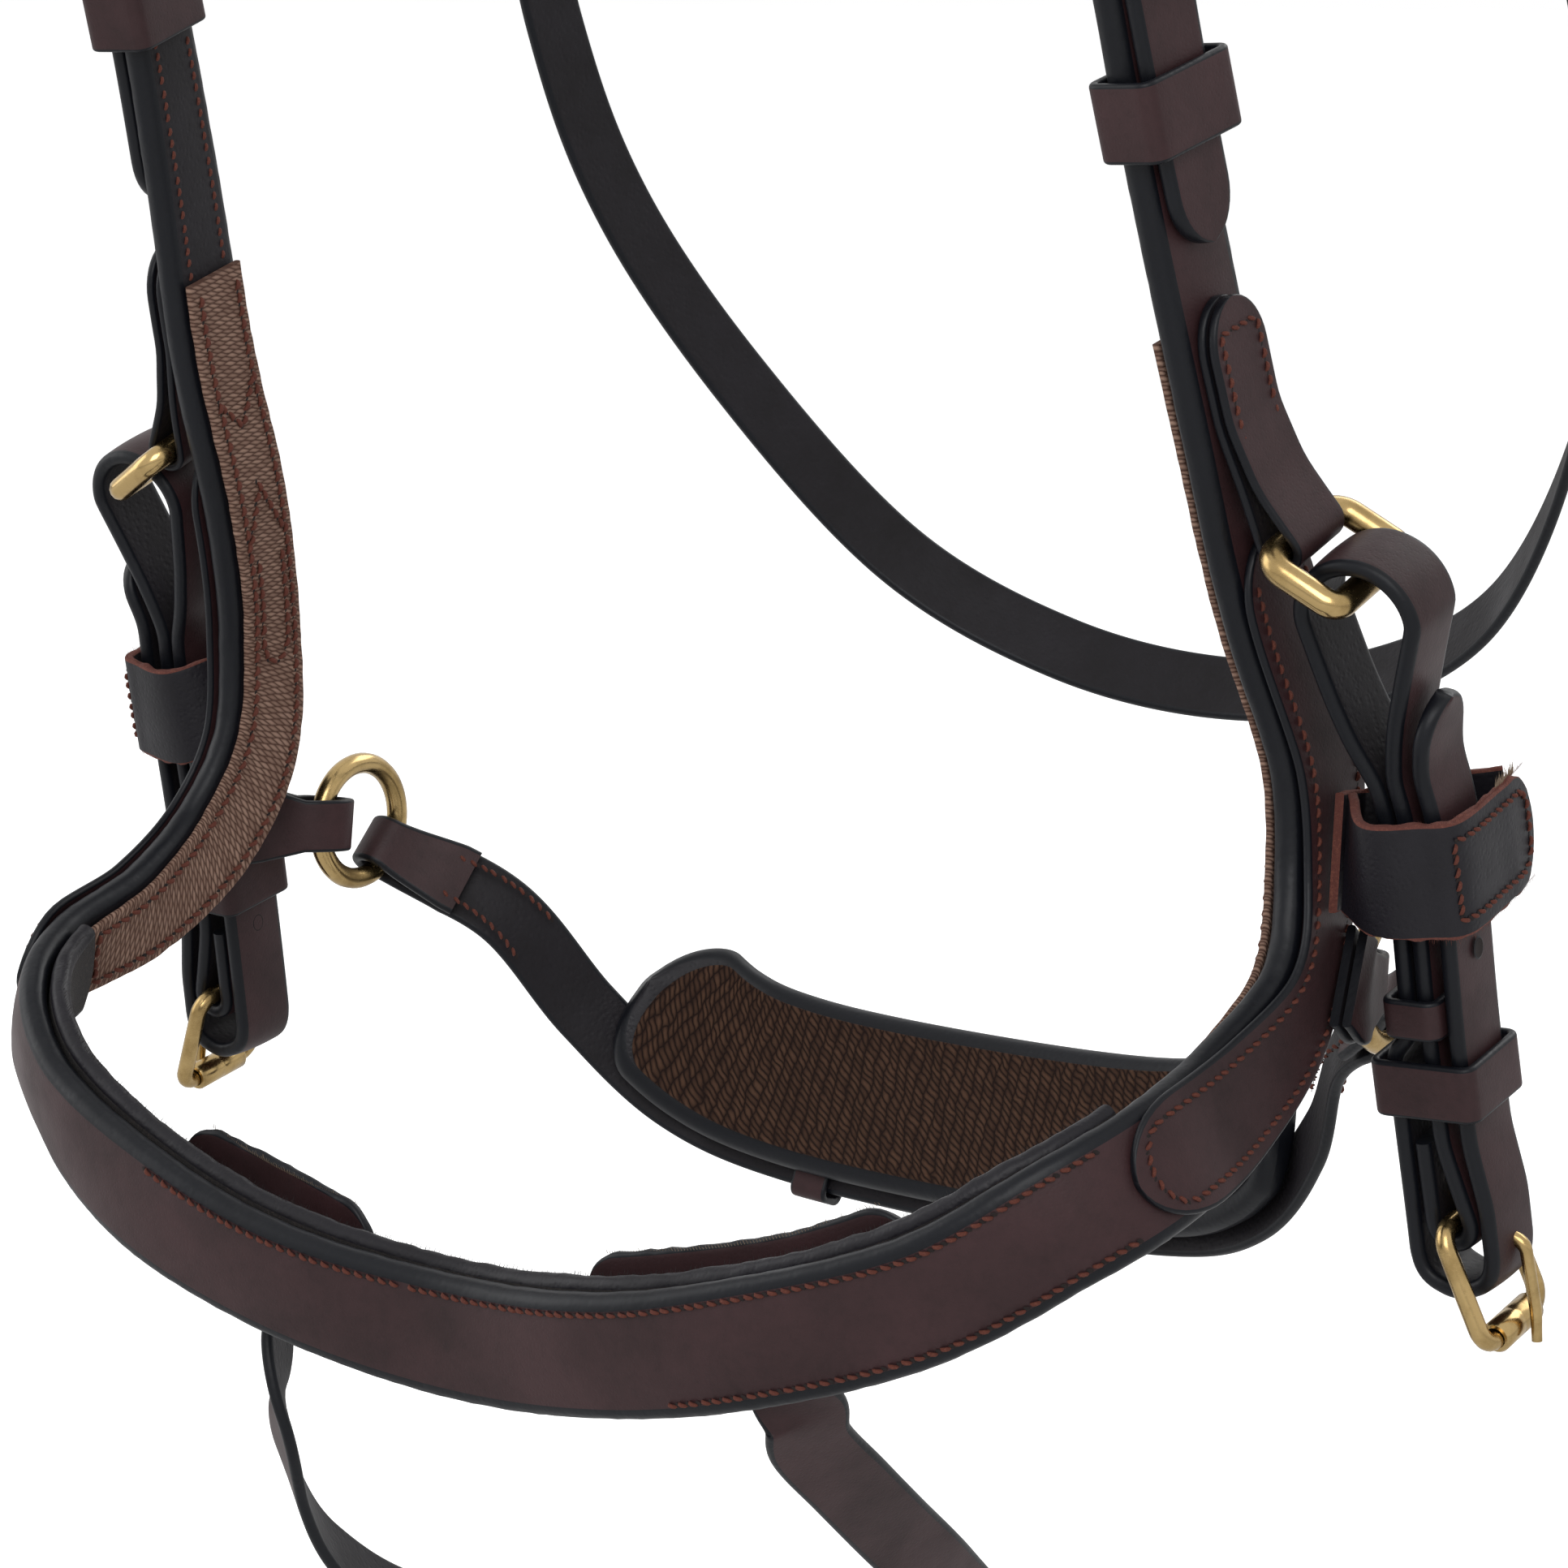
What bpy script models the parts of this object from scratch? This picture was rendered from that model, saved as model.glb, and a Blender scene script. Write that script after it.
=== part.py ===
import math

import bmesh
import bpy
from mathutils import Matrix, Vector

# Head form that the straps follow, in metres. Left is +X, the nose points to -Y, the crown top is the origin.
crown_rise = 0.330
crown_back = 0.005
poll_half_width = 0.085
split_height = 0.232
brow_rise = 0.222
brow_depth = 0.108
nose_half_width = 0.109
nose_depth = 0.060
nose_drop = 0.120
cheek_rise = 0.112
jaw_half_width = 0.106
jaw_depth = 0.168
throat_rise = 0.262
chin_inset = 0.003
chin_half_width = nose_half_width - chin_inset
chin_depth = 0.088
chin_drop = 0.131
loop_half_width = 0.064
loop_depth = 0.078
loop_drop = 0.203

# Leather and soft layers.
gap = 0.0003
lay = 0.0006
leather = 0.0026
thin_leather = 0.0014
strap_width = 0.013
edge_round = 0.0005
arm_width = 0.018
arm_top_width = 0.015
arm_thickness = 0.0046
band_width = 0.0195
lining_thickness = 0.0030
webbing_width = 0.0145
webbing_thickness = 0.0012
crown_width = 0.036
crown_reach = 0.112
pad_reach = 0.078
pad_width = 0.048
pad_thickness = 0.008
brow_width = 0.016
chape_length = 0.020
soft_leather = 0.0020
turned_end = 0.013
chin_tab_width = 0.0165
chin_pad_reach = 0.085
chin_pad_width = 0.0315
chin_pad_thickness = 0.006
chin_pad_rise = 0.0118
eye_width = 0.0094
hole_size = 0.0034
slot_length = 0.0066
keeper_height = 0.009
keeper_play = 0.0005

# Brass.
ring_wire = 0.0021
ring_depth = 0.0125
ring_tilt = 53
ring_play = 0.0012
chin_wire = 0.0019
chin_radius = 0.0106
chin_ring_back = 0.041
chin_ring_drop = 0.068
buckle_wire = 0.0015
buckle_reach = 0.0160
tongue_wire = 0.0011
roller_wall = 0.0008

# Bit straps: lengths are counted down from the cheek ring's bar.
ring_rise = 0.005
ring_out = 0.0095
arch_radius = 0.0090
bundle_top = 0.030
wrap_at = 0.045
wrap_height = 0.018
wrap_play = 0.0024
wrap_tip = 0.0100
small_loop_at = 0.068
bundle_keeper_at = 0.0795
bundle_heel = 0.1018
bundle_end = 0.1070

arc_steps = 7
middle = Vector((0, crown_back, -crown_rise))

scene = bpy.context.scene
for old in list(bpy.data.objects):
    bpy.data.objects.remove(old, do_unlink=True)
scene.unit_settings.system = "METRIC"
bridle = bpy.data.collections.new("bridle")
cutters = bpy.data.collections.new("cutters")
scene.collection.children.link(bridle)
scene.collection.children.link(cutters)


def material(name, color, roughness, metallic=0.0):
    made = bpy.data.materials.new(name)
    made.use_nodes = True
    shader = made.node_tree.nodes["Principled BSDF"]
    shader.inputs["Base Color"].default_value = (*color, 1)
    shader.inputs["Roughness"].default_value = roughness
    shader.inputs["Metallic"].default_value = metallic
    return made


brown = material("brown_leather", (0.052, 0.026, 0.027), 0.45)
dark = material("dark_leather", (0.017, 0.014, 0.018), 0.5)
webbing = material("brown_webbing", (0.115, 0.065, 0.048), 0.95)
hook_tape = material("hook_tape", (0.045, 0.026, 0.017), 0.95)
lining = material("loop_lining", (0.022, 0.018, 0.016), 1.0)
brass = material("brass", (0.62, 0.44, 0.20), 0.28, 1.0)


def placed(shares, size, side=1):
    """Points given as shares of a size in each direction, from the middle point between the cheek rings."""
    return [middle + Vector((x * size[0] * side, y * size[1], z * size[2])) for x, y, z in shares]


def smooth(points, steps, closed=False):
    """Points on a smooth curve through the given ones. A closed curve comes back to its first point."""
    if closed:
        ends = [points[-2], *points, points[1]]
    else:
        ends = [2 * points[0] - points[1], *points, 2 * points[-1] - points[-2]]
    curve = []
    for a, b, c, d in zip(ends, ends[1:], ends[2:], ends[3:]):
        for k in range(steps):
            t = k / steps
            square, cube = 2 * a - 5 * b + 4 * c - d, 3 * b - a - 3 * c + d
            curve.append(b + ((c - a) * t + square * t**2 + cube * t**3) / 2)
    curve.append(points[-1].copy())
    return curve


class Line:
    """A smooth line through control points, with the direction that a strap's outer face takes along it.

    Straps bend at its knots alone, so straps that lie on each other stay parallel."""

    def __init__(self, controls, facing, side=1, steps=4, closed=False):
        self.side = side
        self.knots = []
        points = smooth(controls, steps, closed)
        lengths = [0.0]
        for a, b in zip(points, points[1:]):
            lengths.append(lengths[-1] + (b - a).length)
        self.length = lengths[-1]
        before = [points[-2] if closed else points[0], *points[:-1]]
        after = [*points[1:], points[1] if closed else points[-1]]
        for s, point, a, b, face in zip(lengths, points, before, after, smooth(facing, steps, closed)):
            tangent = ((b - point).normalized() + (point - a).normalized()).normalized()
            out = (face - tangent * face.dot(tangent)).normalized()
            self.knots.append((s, [point, tangent, out, tangent.cross(out) * side]))

    def frame(self, s):
        """Point, tangent, outward and forward directions at the length s from the start."""
        k = 0
        while k < len(self.knots) - 2 and self.knots[k + 1][0] < s:
            k += 1
        (s0, first), (s1, second) = self.knots[k], self.knots[k + 1]
        t = (s - s0) / (s1 - s0)
        return [a + (b - a) * t for a, b in zip(first, second)]

    def at(self, s, out=0.0, forward=0.0):
        point, _, outward, ahead = self.frame(s)
        return point + outward * out + ahead * forward

    def near(self, height):
        """The length at which the line first comes down to a height over the cheek rings."""
        for (s0, first), (s1, second) in zip(self.knots, self.knots[1:]):
            top, low = first[0].z - middle.z, second[0].z - middle.z
            if top >= height > low:
                return s0 + (s1 - s0) * (top - height) / (top - low)
        return self.length

    def spaced(self, path):
        """A path of (length, out) points with the line's knots that it passes put in."""
        points = [path[0]]
        for (s0, o0), (s1, o1) in zip(path, path[1:]):
            passed = sorted((s for s, _ in self.knots if min(s0, s1) < s < max(s0, s1)), reverse=s1 < s0)
            clear = [s for s in passed if min(abs(s - s0), abs(s - s1)) > gap]
            points += [(s, o0 + (o1 - o0) * (s - s0) / (s1 - s0)) for s in clear]
            points.append((s1, o1))
        return points


def link(mesh, name, stuff):
    made = bpy.data.objects.new(name, mesh)
    made.data.materials.append(stuff)
    bridle.objects.link(made)
    return made


def thicken(made, thickness, rounding=0.0):
    solid = made.modifiers.new("thickness", "SOLIDIFY")
    solid.thickness = thickness
    solid.offset = 0
    if rounding:
        bevel = made.modifiers.new("edges", "BEVEL")
        bevel.width = rounding
        bevel.segments = 1
        bevel.limit_method = "ANGLE"
        bevel.angle_limit = math.radians(60)


def ribbon(name, stations, thickness, stuff, closed=False, rounding=0.0):
    """A strap from its stations, each a centre and half its width as a vector."""
    shape = bmesh.new()
    chains = []
    for sign in (-1, 1):
        verts = [shape.verts.new(centre + half * sign) for centre, half in stations]
        chains += [shape.edges.new(pair) for pair in zip(verts, verts[1:])]
        if closed:
            chains.append(shape.edges.new((verts[-1], verts[0])))
    bmesh.ops.bridge_loops(shape, edges=chains)
    bmesh.ops.recalc_face_normals(shape, faces=shape.faces)
    mesh = bpy.data.meshes.new(name)
    shape.to_mesh(mesh)
    shape.free()
    mesh.shade_smooth()
    mesh.set_sharp_from_angle(angle=math.radians(40))
    made = link(mesh, name, stuff)
    thicken(made, thickness, rounding)
    return made


def tip_width(distance, length):
    """Share of the full width at a distance from a rounded end."""
    if distance >= length:
        return 1.0
    return max(math.sqrt(1 - (1 - distance / length) ** 2), 0.28)


def rounded_way(stations, steps=3):
    """Stations on a smooth way through the given ones."""
    centres = smooth([centre for centre, _ in stations], steps)
    halves = smooth([half for _, half in stations], steps)
    return list(zip(centres, halves))


def strap(name, line, path, width, thickness, stuff, tips=(False, False), rounding=0, widths=None, ahead=0):
    """A strap along a path of (length, out) points over a line. A tip is a rounded end."""
    tip_shares = (0.08, 0.3, 0.6)
    for end in (0, 1):
        if tips[end]:
            (s0, o0), (s1, o1) = (path[0], path[1]) if end == 0 else (path[-1], path[-2])
            share = width * 0.62 / math.hypot(s1 - s0, o1 - o0)
            near = [(s0 + (s1 - s0) * share * k, o0 + (o1 - o0) * share * k) for k in (*tip_shares, 1)]
            path = [path[0], *near, *path[1:]] if end == 0 else [*path[:-1], *reversed(near), path[-1]]
    points = line.spaced(path)
    walked = [0.0]
    for (s0, o0), (s1, o1) in zip(points, points[1:]):
        walked.append(walked[-1] + math.hypot(s1 - s0, o1 - o0))
    stations = []
    for (s, o), walk in zip(points, walked):
        share = 1.0
        if tips[0]:
            share = min(share, tip_width(walk, width * 0.62))
        if tips[1]:
            share = min(share, tip_width(walked[-1] - walk, width * 0.62))
        half = (widths(s) if widths else width) / 2 * share
        stations.append((line.at(s, o, ahead), line.frame(s)[3] * half))
    return ribbon(name, stations, thickness, stuff, rounding=rounding)


def arc(centre, radius, start, end, steps=arc_steps):
    """Points of an arc in the plane of length and out, angles in degrees from the way the line runs."""
    angles = [math.radians(start + (end - start) * k / steps) for k in range(steps + 1)]
    return [(centre[0] + radius * math.cos(a), centre[1] + radius * math.sin(a)) for a in angles]


def folded(centre, halves, steps=arc_steps):
    """A path that runs down one side of a centre path, round its last point and back up the other side.

    halves gives how far each leg lies from the centre path at each of its points."""
    legs = ([], [])
    for k, (s, o) in enumerate(centre):
        s0, o0 = centre[max(k - 1, 0)]
        s1, o1 = centre[min(k + 1, len(centre) - 1)]
        way = math.hypot(s1 - s0, o1 - o0)
        turn = ((o0 - o1) / way, (s1 - s0) / way)
        for leg, sign in zip(legs, (-1, 1)):
            leg.append((s + turn[0] * sign * halves[k], o + turn[1] * sign * halves[k]))
    (s0, o0), (s1, o1) = centre[-2:]
    heading = math.degrees(math.atan2(o1 - o0, s1 - s0))
    bend = arc(centre[-1], halves[-1], heading - 90, heading + 90, steps)
    return [*legs[0][:-1], *bend, *reversed(legs[1][:-1])]


def band(name, line, s, height, opening, thickness, stuff):
    """A closed keeper round a line at the length s, its opening given as (half width, low, high)."""
    half_width, low, high = opening
    half = thickness / 2
    corner = thickness
    corners = ((1, 1, 0), (-1, 1, 90), (-1, -1, 180), (1, -1, 270))
    stations = []
    tangent = line.frame(s)[1].normalized()
    for front, upper, start in corners:
        centre_ahead = front * (half_width + half - corner)
        centre_out = (high + half - corner) if upper > 0 else (low - half + corner)
        for angle in (start, start + 45, start + 90):
            forward = centre_ahead + corner * math.cos(math.radians(angle))
            outward = centre_out + corner * math.sin(math.radians(angle))
            stations.append((line.at(s, outward, forward), tangent * height / 2))
    return ribbon(name, stations, thickness, stuff, closed=True)


def wire(name, points, radius, stuff, closed=False, sides=2):
    curve = bpy.data.curves.new(name, "CURVE")
    curve.dimensions = "3D"
    curve.bevel_depth = radius
    curve.bevel_resolution = sides
    curve.use_fill_caps = not closed
    spline = curve.splines.new("POLY")
    spline.points.add(len(points) - 1)
    for knot, point in zip(spline.points, points):
        knot.co = (*point, 1)
    spline.use_cyclic_u = closed
    made = bpy.data.objects.new(name, curve)
    made.data.materials.append(stuff)
    bridle.objects.link(made)
    return made


def rounded_loop(centre, along, across, half_along, half_across, radii, steps=4):
    """Points of a rectangle with round corners, with one radius for the far end of along and one for the near."""
    far, near = radii
    points = []
    corners = ((1, 1, 0, far), (-1, 1, 90, near), (-1, -1, 180, near), (1, -1, 270, far))
    for sign_a, sign_c, start, radius in corners:
        for k in range(steps + 1):
            angle = math.radians(start + 90 * k / steps)
            a = sign_a * (half_along - radius) + radius * math.cos(angle)
            c = sign_c * (half_across - radius) + radius * math.sin(angle)
            points.append(centre + along * a + across * c)
    return points


def cut_box(name, line, s, out, sizes, target):
    """Cuts a box from a strap, its sizes along the line, across it and outward."""
    point, tangent, outward, ahead = line.frame(s)
    shape = bmesh.new()
    bmesh.ops.create_cube(shape, size=1)
    mesh = bpy.data.meshes.new(name)
    shape.to_mesh(mesh)
    shape.free()
    axes = (tangent.normalized(), tangent.cross(outward).normalized(), outward.normalized())
    turn = Matrix(axes).transposed()
    if turn.determinant() < 0:
        turn = Matrix((axes[0], -axes[1], axes[2])).transposed()
    mesh.transform(Matrix.Translation(point + outward * out) @ turn.to_4x4() @ Matrix.Diagonal((*sizes, 1)))
    tool = bpy.data.objects.new(name, mesh)
    tool.hide_render = True
    tool.display_type = "WIRE"
    cutters.objects.link(tool)
    boolean = target.modifiers.new(name, "BOOLEAN")
    boolean.operation = "DIFFERENCE"
    boolean.solver = "EXACT"
    boolean.object = tool


def turned_tube(name, centre, axis, half_length, inner, wall, stuff):
    mesh = bpy.data.meshes.new(name)
    shape = bmesh.new()
    outer = inner + wall
    profile = ((outer, half_length), (outer, -half_length), (inner, -half_length), (inner, half_length))
    verts = [shape.verts.new((r, 0, z)) for r, z in profile]
    for a, b in zip(verts, verts[1:] + verts[:1]):
        shape.edges.new((a, b))
    shape.to_mesh(mesh)
    shape.free()
    made = link(mesh, name, stuff)
    screw = made.modifiers.new("turn", "SCREW")
    screw.steps = 14
    screw.render_steps = 14
    screw.use_merge_vertices = True
    screw.merge_threshold = 0.00001
    made.matrix_world = Matrix.Translation(centre) @ axis.to_track_quat("Z", "Y").to_matrix().to_4x4()
    return made


def buckle(name, line, heel, way, toe, billet_out, billet, fold, fold_leather, roller=False):
    """Frame, tongue and, where it has one, roller of a buckle, with the slots that the tongue needs.

    heel is the (length, out) place of the bar that the strap folds round. toe gives the frame's reach and how
    far outward its toe stands. way is 1 where the toe lies further along the line and -1 where it lies before.
    billet_out is how far out the billet passes the heel."""
    s, out = heel
    reach, toe_out = toe
    toe_s = s + way * math.sqrt(reach**2 - toe_out**2)
    ahead = line.frame(s)[3].normalized()
    heel_point, toe_point = line.at(s, out), line.at(toe_s, out + toe_out)
    along = (toe_point - heel_point).normalized()
    half = strap_width / 2 + ring_play + buckle_wire
    corner = buckle_wire * 2
    loop = rounded_loop((heel_point + toe_point) / 2, along, ahead, reach / 2, half, (corner, corner))
    pieces = [wire(name + "_frame", loop, buckle_wire, brass, closed=True)]
    curl = buckle_wire + tongue_wire + gap
    rest = curl
    if roller:
        inner = buckle_wire + gap
        pieces.append(turned_tube(name + "_roller", toe_point, ahead, half - corner - gap, inner, roller_wall, brass))
        rest += roller_wall + gap
    points = [(s - way * c, o) for c, o in arc((0, out), curl, -120, 90)]
    through = billet_out - out
    over = through + leather / 2 + tongue_wire + gap
    points.append((s + way * curl * 0.8, out + through * 0.72))
    points.append((s + way * curl * 1.45, out + max(over, curl)))
    top = out + toe_out + rest
    points.append((toe_s - way * buckle_wire, top))
    points.append((toe_s + way * tongue_wire * 2, top))
    pieces.append(wire(name + "_tongue", [line.at(*point) for point in points], tongue_wire, brass))
    hole = (slot_length, hole_size, leather * 2.4)
    cut_box(name + "_billet_hole", line, s + way * curl * 0.85, billet_out, hole, billet)
    slot = (buckle_wire + gap + fold_leather + gap) * 2
    cut_box(name + "_fold_slot", line, s, out, (slot, hole_size, slot), fold)
    return pieces


def round_wire(end, way, radius, slack):
    """A path from a strap's turned end, round a wire at the line's end, and out along the line."""
    pitch = soft_leather + lay
    low = -slack * 0.35
    bend = [(low - s, o + low) for s, o in arc((0, 0), radius + slack / 2, -90, 90)]
    path = [(turned_end * 1.2, -pitch), (radius * 1.5, low - radius * 0.95), *bend]
    path += [(radius * 2, radius * 0.55), (turned_end, 0)]
    return [(end + way * s, o) for s, o in path]


def fasten(name, line, heel, way, strap_start, billet_start, past, widths=None):
    """A strap that ends in a buckle, and the billet that comes from the other way and runs back over it.

    Both starts are paths that end before the buckle. past is how far the billet runs on past the heel."""
    fold = buckle_wire + lay + soft_leather / 2
    pitch = soft_leather + lay
    high = fold * 2 + soft_leather + lay * 1.3
    turned = [(heel + way * s, o + fold) for s, o in arc((0, 0), fold, -90, 90)]
    strap_path = [*strap_start, *turned, (heel - way * turned_end, pitch)]
    held = strap(name + "_strap", line, strap_path, strap_width, soft_leather, brown, widths=widths)
    steps = ((buckle_reach * 1.15, 0), (0, high), (-turned_end, pitch * 2))
    steps += ((-turned_end * 1.4, pitch), (-past, pitch))
    billet_path = [*billet_start, *[(heel + way * s, o) for s, o in steps]]
    tips = (False, True)
    billet = strap(name + "_billet", line, billet_path, strap_width, soft_leather, brown, tips, widths=widths)
    toe = (buckle_reach, fold * 1.4)
    pieces = buckle(name + "_buckle", line, (heel, fold), way, toe, high, billet, held, soft_leather)
    keeper_at = heel - way * (turned_end * 1.4 + keeper_height * 0.7)
    opening = (strap_width / 2 + keeper_play, -soft_leather / 2 - gap, pitch + soft_leather / 2 + keeper_play)
    pieces.append(band(name + "_keeper", line, keeper_at, keeper_height * 0.8, opening, thin_leather, brown))
    return [held, billet, *pieces]


def hang(name, point, pieces):
    """Parents pieces to an empty on their joint's axis."""
    empty = bpy.data.objects.new(name, None)
    empty.location = point
    bridle.objects.link(empty)
    for piece in pieces:
        piece.parent = empty
        piece.matrix_parent_inverse = Matrix.Translation(-point)


# The face line runs from the crown down the left cheek, round the nose and back up to the crown.
crown_shares = ((0, -1, 1), (0.5, -1, 0.976), (0.88, -1.2, 0.885))
temple_shares = ((1.0, -2.2, 0.74), (1.05, -4.4, 0.60), (1.10, -6.6, 0.47))
arm_shares = ((0.864, -0.511, 1.045), (0.868, -0.327, 0.728), (0.887, -0.18, 0.456), (0.913, -0.038, 0.188))
side_shares = ((0.928, 0.115, -0.043), (0.967, 0.24, -0.244), (0.974, 0.23, -0.417), (0.993, 0.078, -0.548))
turn_shares = ((0.995, -0.217, -0.632), (1.001, -0.543, -0.677), (0.934, -0.783, -0.733), (0.773, -0.938, -0.832))
front_shares = ((0.543, -1.033, -0.91), (0.288, -1.038, -0.97), (0, -0.992, -1.0))
# How far the outer face leans down at each of those points, in the same order.
arm_lean_shares = (0.6, 0.51, 0.38, 0.2, 0.11, 0.12, 0.16, 0.03)
front_lean_shares = (-0.19, -0.41, -0.31, -0.15, -0.15, 0.01, 0)
crown_size = (poll_half_width, crown_back, crown_rise)
arm_size = (nose_half_width, nose_depth, cheek_rise)
nose_size = (nose_half_width, nose_depth, nose_drop)


def mirrored(points):
    return [Vector((-point.x, point.y, point.z)) for point in points]


def there_and_back(half):
    """The points of one side and those of the other, where the last of the half lies in the middle."""
    return [*half, *reversed(mirrored(half[:-1]))]


def face_way(point, lean):
    """The direction that the straps' outer face takes round the head, with its lean down."""
    x, y, z = point - middle
    side = math.copysign(1, x)
    if z > split_height:
        return Vector((x, 0, z - split_height)).normalized()
    turned = min(max((-z / nose_drop - 0.318) / 0.409, 0), 1)
    radial = Vector((x / nose_half_width, y / nose_depth * 0.63 + 0.07, 0))
    level = Vector((side if abs(x) > gap else 0, 0, 0)).lerp(radial.normalized(), turned)
    return level - Vector((0, 0, lean))


left_half = [
    *placed((*crown_shares, *temple_shares), crown_size),
    *placed(arm_shares, arm_size),
    *placed((*side_shares, *turn_shares, *front_shares), nose_size),
]
face_controls = {1: there_and_back(left_half), -1: there_and_back(mirrored(left_half))}
half_leans = [0] * len((*crown_shares, *temple_shares)) + [*arm_lean_shares, *front_lean_shares]
leans = [*half_leans, *reversed(half_leans[:-1])]
face_lines = {}
for side, controls in face_controls.items():
    face_lines[side] = Line(controls, list(map(face_way, controls, leans)), side, closed=True)
face_line = face_lines[1]
half_length = face_line.length / 2
heel_at = face_line.near(cheek_rise)
arm_from = heel_at + buckle_wire * 4


def nose_width(s):
    along = (min(s, face_line.length - s) - arm_from) / (half_length - arm_from)
    upper = min(max(along / 0.3, 0), 1)
    front = min(max((along - 0.42) / 0.3, 0), 1)
    return arm_top_width + (arm_width - arm_top_width) * upper + (band_width - arm_width) * front


def crown_taper(s):
    share = min(max((s - crown_reach) / (crown_width - strap_width), 0), 1)
    return crown_width + (strap_width - crown_width) * share


def over_crown(name, path, width, thickness, stuff, rounding=0.0, rounded=True, widths=None):
    """A strap that crosses the crown, from its path on the left side."""
    stations = {}
    for side in (1, -1):
        line = face_lines[side]
        points = line.spaced(path)
        end, walk = points[-1][0], []
        for s, out in points:
            share = tip_width(end - s, width * 0.3) if rounded else 1.0
            half = (widths(s) if widths else width) / 2 * share
            walk.append((line.at(s, out), line.frame(s)[3] * half))
        stations[side] = walk
    return ribbon(name, [*reversed(stations[-1]), *stations[1][1:]], thickness, stuff, rounding=rounding)


# Nosepiece: one strap from arm top to arm top, with a soft lining inside the front band.
nose_path = [(arm_from, 0), (face_line.length - arm_from, 0)]
strap("nosepiece", face_line, nose_path, arm_width, arm_thickness, brown, rounding=edge_round, widths=nose_width)
lining_out = -(arm_thickness + lining_thickness) / 2 - lay
lining_from = half_length - nose_half_width * 1.18
lining_path = [(lining_from, lining_out), (face_line.length - lining_from, lining_out)]
strap("nose_lining", face_line, lining_path, band_width * 0.86, lining_thickness, lining, rounding=edge_round)

# Headpiece: crown, cheek straps and billets in one piece, with a pad under the crown.
billet_heel = buckle_wire + gap + thin_leather + lay + leather / 2
billet_arm = arm_thickness / 2 + lay + leather / 2
chape_half = (arm_thickness + thin_leather) / 2 + lay
billet_chape = chape_half + thin_leather / 2 + lay + leather / 2
chape_end = heel_at + chape_length
tip_at = face_line.near(cheek_rise * 0.42)
head_path = [(0, 0), (heel_at - buckle_reach * 1.15, 0), (heel_at - buckle_wire, billet_heel), (arm_from, billet_chape)]
head_path += [(chape_end, billet_chape), (chape_end + leather * 2, billet_arm), (tip_at, billet_arm)]
headpiece = over_crown("headpiece", head_path, strap_width, leather, brown, widths=crown_taper)
pad_out = -(leather + pad_thickness) / 2 - lay
over_crown("poll_pad", [(0, pad_out), (pad_reach, pad_out)], pad_width, pad_thickness, dark, rounding=edge_round * 3)

# Browband: a strap round the brow between two loops on the cheek straps.
brow_at = face_line.near(brow_rise)
brow_loop = (strap_width / 2 + keeper_play, -leather / 2 - keeper_play, leather / 2 + keeper_play)
for side, word in ((1, "left"), (-1, "right")):
    band(word + "_browband_loop", face_lines[side], brow_at, brow_width, brow_loop, thin_leather, brown)
brow_start = face_line.at(brow_at, 0, strap_width / 2 + keeper_play + thin_leather + gap) - middle
brow_shares = ((0.90, 0.62, 0.965), (0.62, 0.88, 0.93), (0.3, 0.98, 0.91), (0, 1, 0.905))
brow_half = [middle + Vector((x * brow_start.x, -y * brow_depth, z * brow_rise)) for x, y, z in brow_shares]
brow_controls = there_and_back([middle + brow_start, *brow_half])
brow_line = Line(brow_controls, [Vector((p.x, p.y * 0.8, 0)).normalized() for p in brow_controls], steps=3)
for knot, side in ((0, 1), (-1, -1)):
    frame = brow_line.knots[knot][1]
    frame[3] = -face_lines[side].frame(brow_at)[1]
strap("browband", brow_line, [(0, 0), (brow_line.length, 0)], brow_width, leather, brown, rounding=edge_round)

# Arms: webbing inside, a stitched lap over the band, cheek buckles in their chapes, keepers.
webbing_out = -(arm_thickness + webbing_thickness) / 2 - lay
lap_out = (arm_thickness + thin_leather) / 2 + lay
cheek_keeper_shares = {1: 0.594, -1: 0.714}
keeper_low = -arm_thickness / 2 - keeper_play
keeper_high = billet_arm + leather / 2 + keeper_play
for side, word in ((1, "left"), (-1, "right")):
    line = face_lines[side]
    webbing_path = [(line.near(cheek_rise * 0.31), webbing_out)]
    webbing_path.append((half_length - nose_half_width * 1.215, webbing_out))
    strap(word + "_arm_webbing", line, webbing_path, webbing_width, webbing_thickness, webbing)
    lap_path = [(line.near(ring_rise), lap_out), (half_length - nose_half_width * 1.12, lap_out)]
    strap(word + "_arm_lap", line, lap_path, arm_width, thin_leather, brown, tips=(True, True))
    centre = [(chape_end, 0), (arm_from, 0), (heel_at + buckle_wire * 2.4, 0), (heel_at, 0)]
    fold_half = buckle_wire + gap + thin_leather / 2
    chape_path = folded(centre, (chape_half, chape_half, fold_half, fold_half))
    chape = strap(word + "_cheek_chape", line, chape_path, strap_width, thin_leather, brown)
    toe = (buckle_reach, buckle_wire * 3.6)
    name = word + "_cheek_buckle"
    buckle(name, line, (heel_at, 0), -1, toe, billet_heel, headpiece, chape, thin_leather)
    keeper_at = line.near(cheek_rise * cheek_keeper_shares[side])
    opening = (nose_width(keeper_at) / 2 + keeper_play, keeper_low, keeper_high)
    band(word + "_cheek_keeper", line, keeper_at, keeper_height * 1.3, opening, thin_leather, brown)

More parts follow.
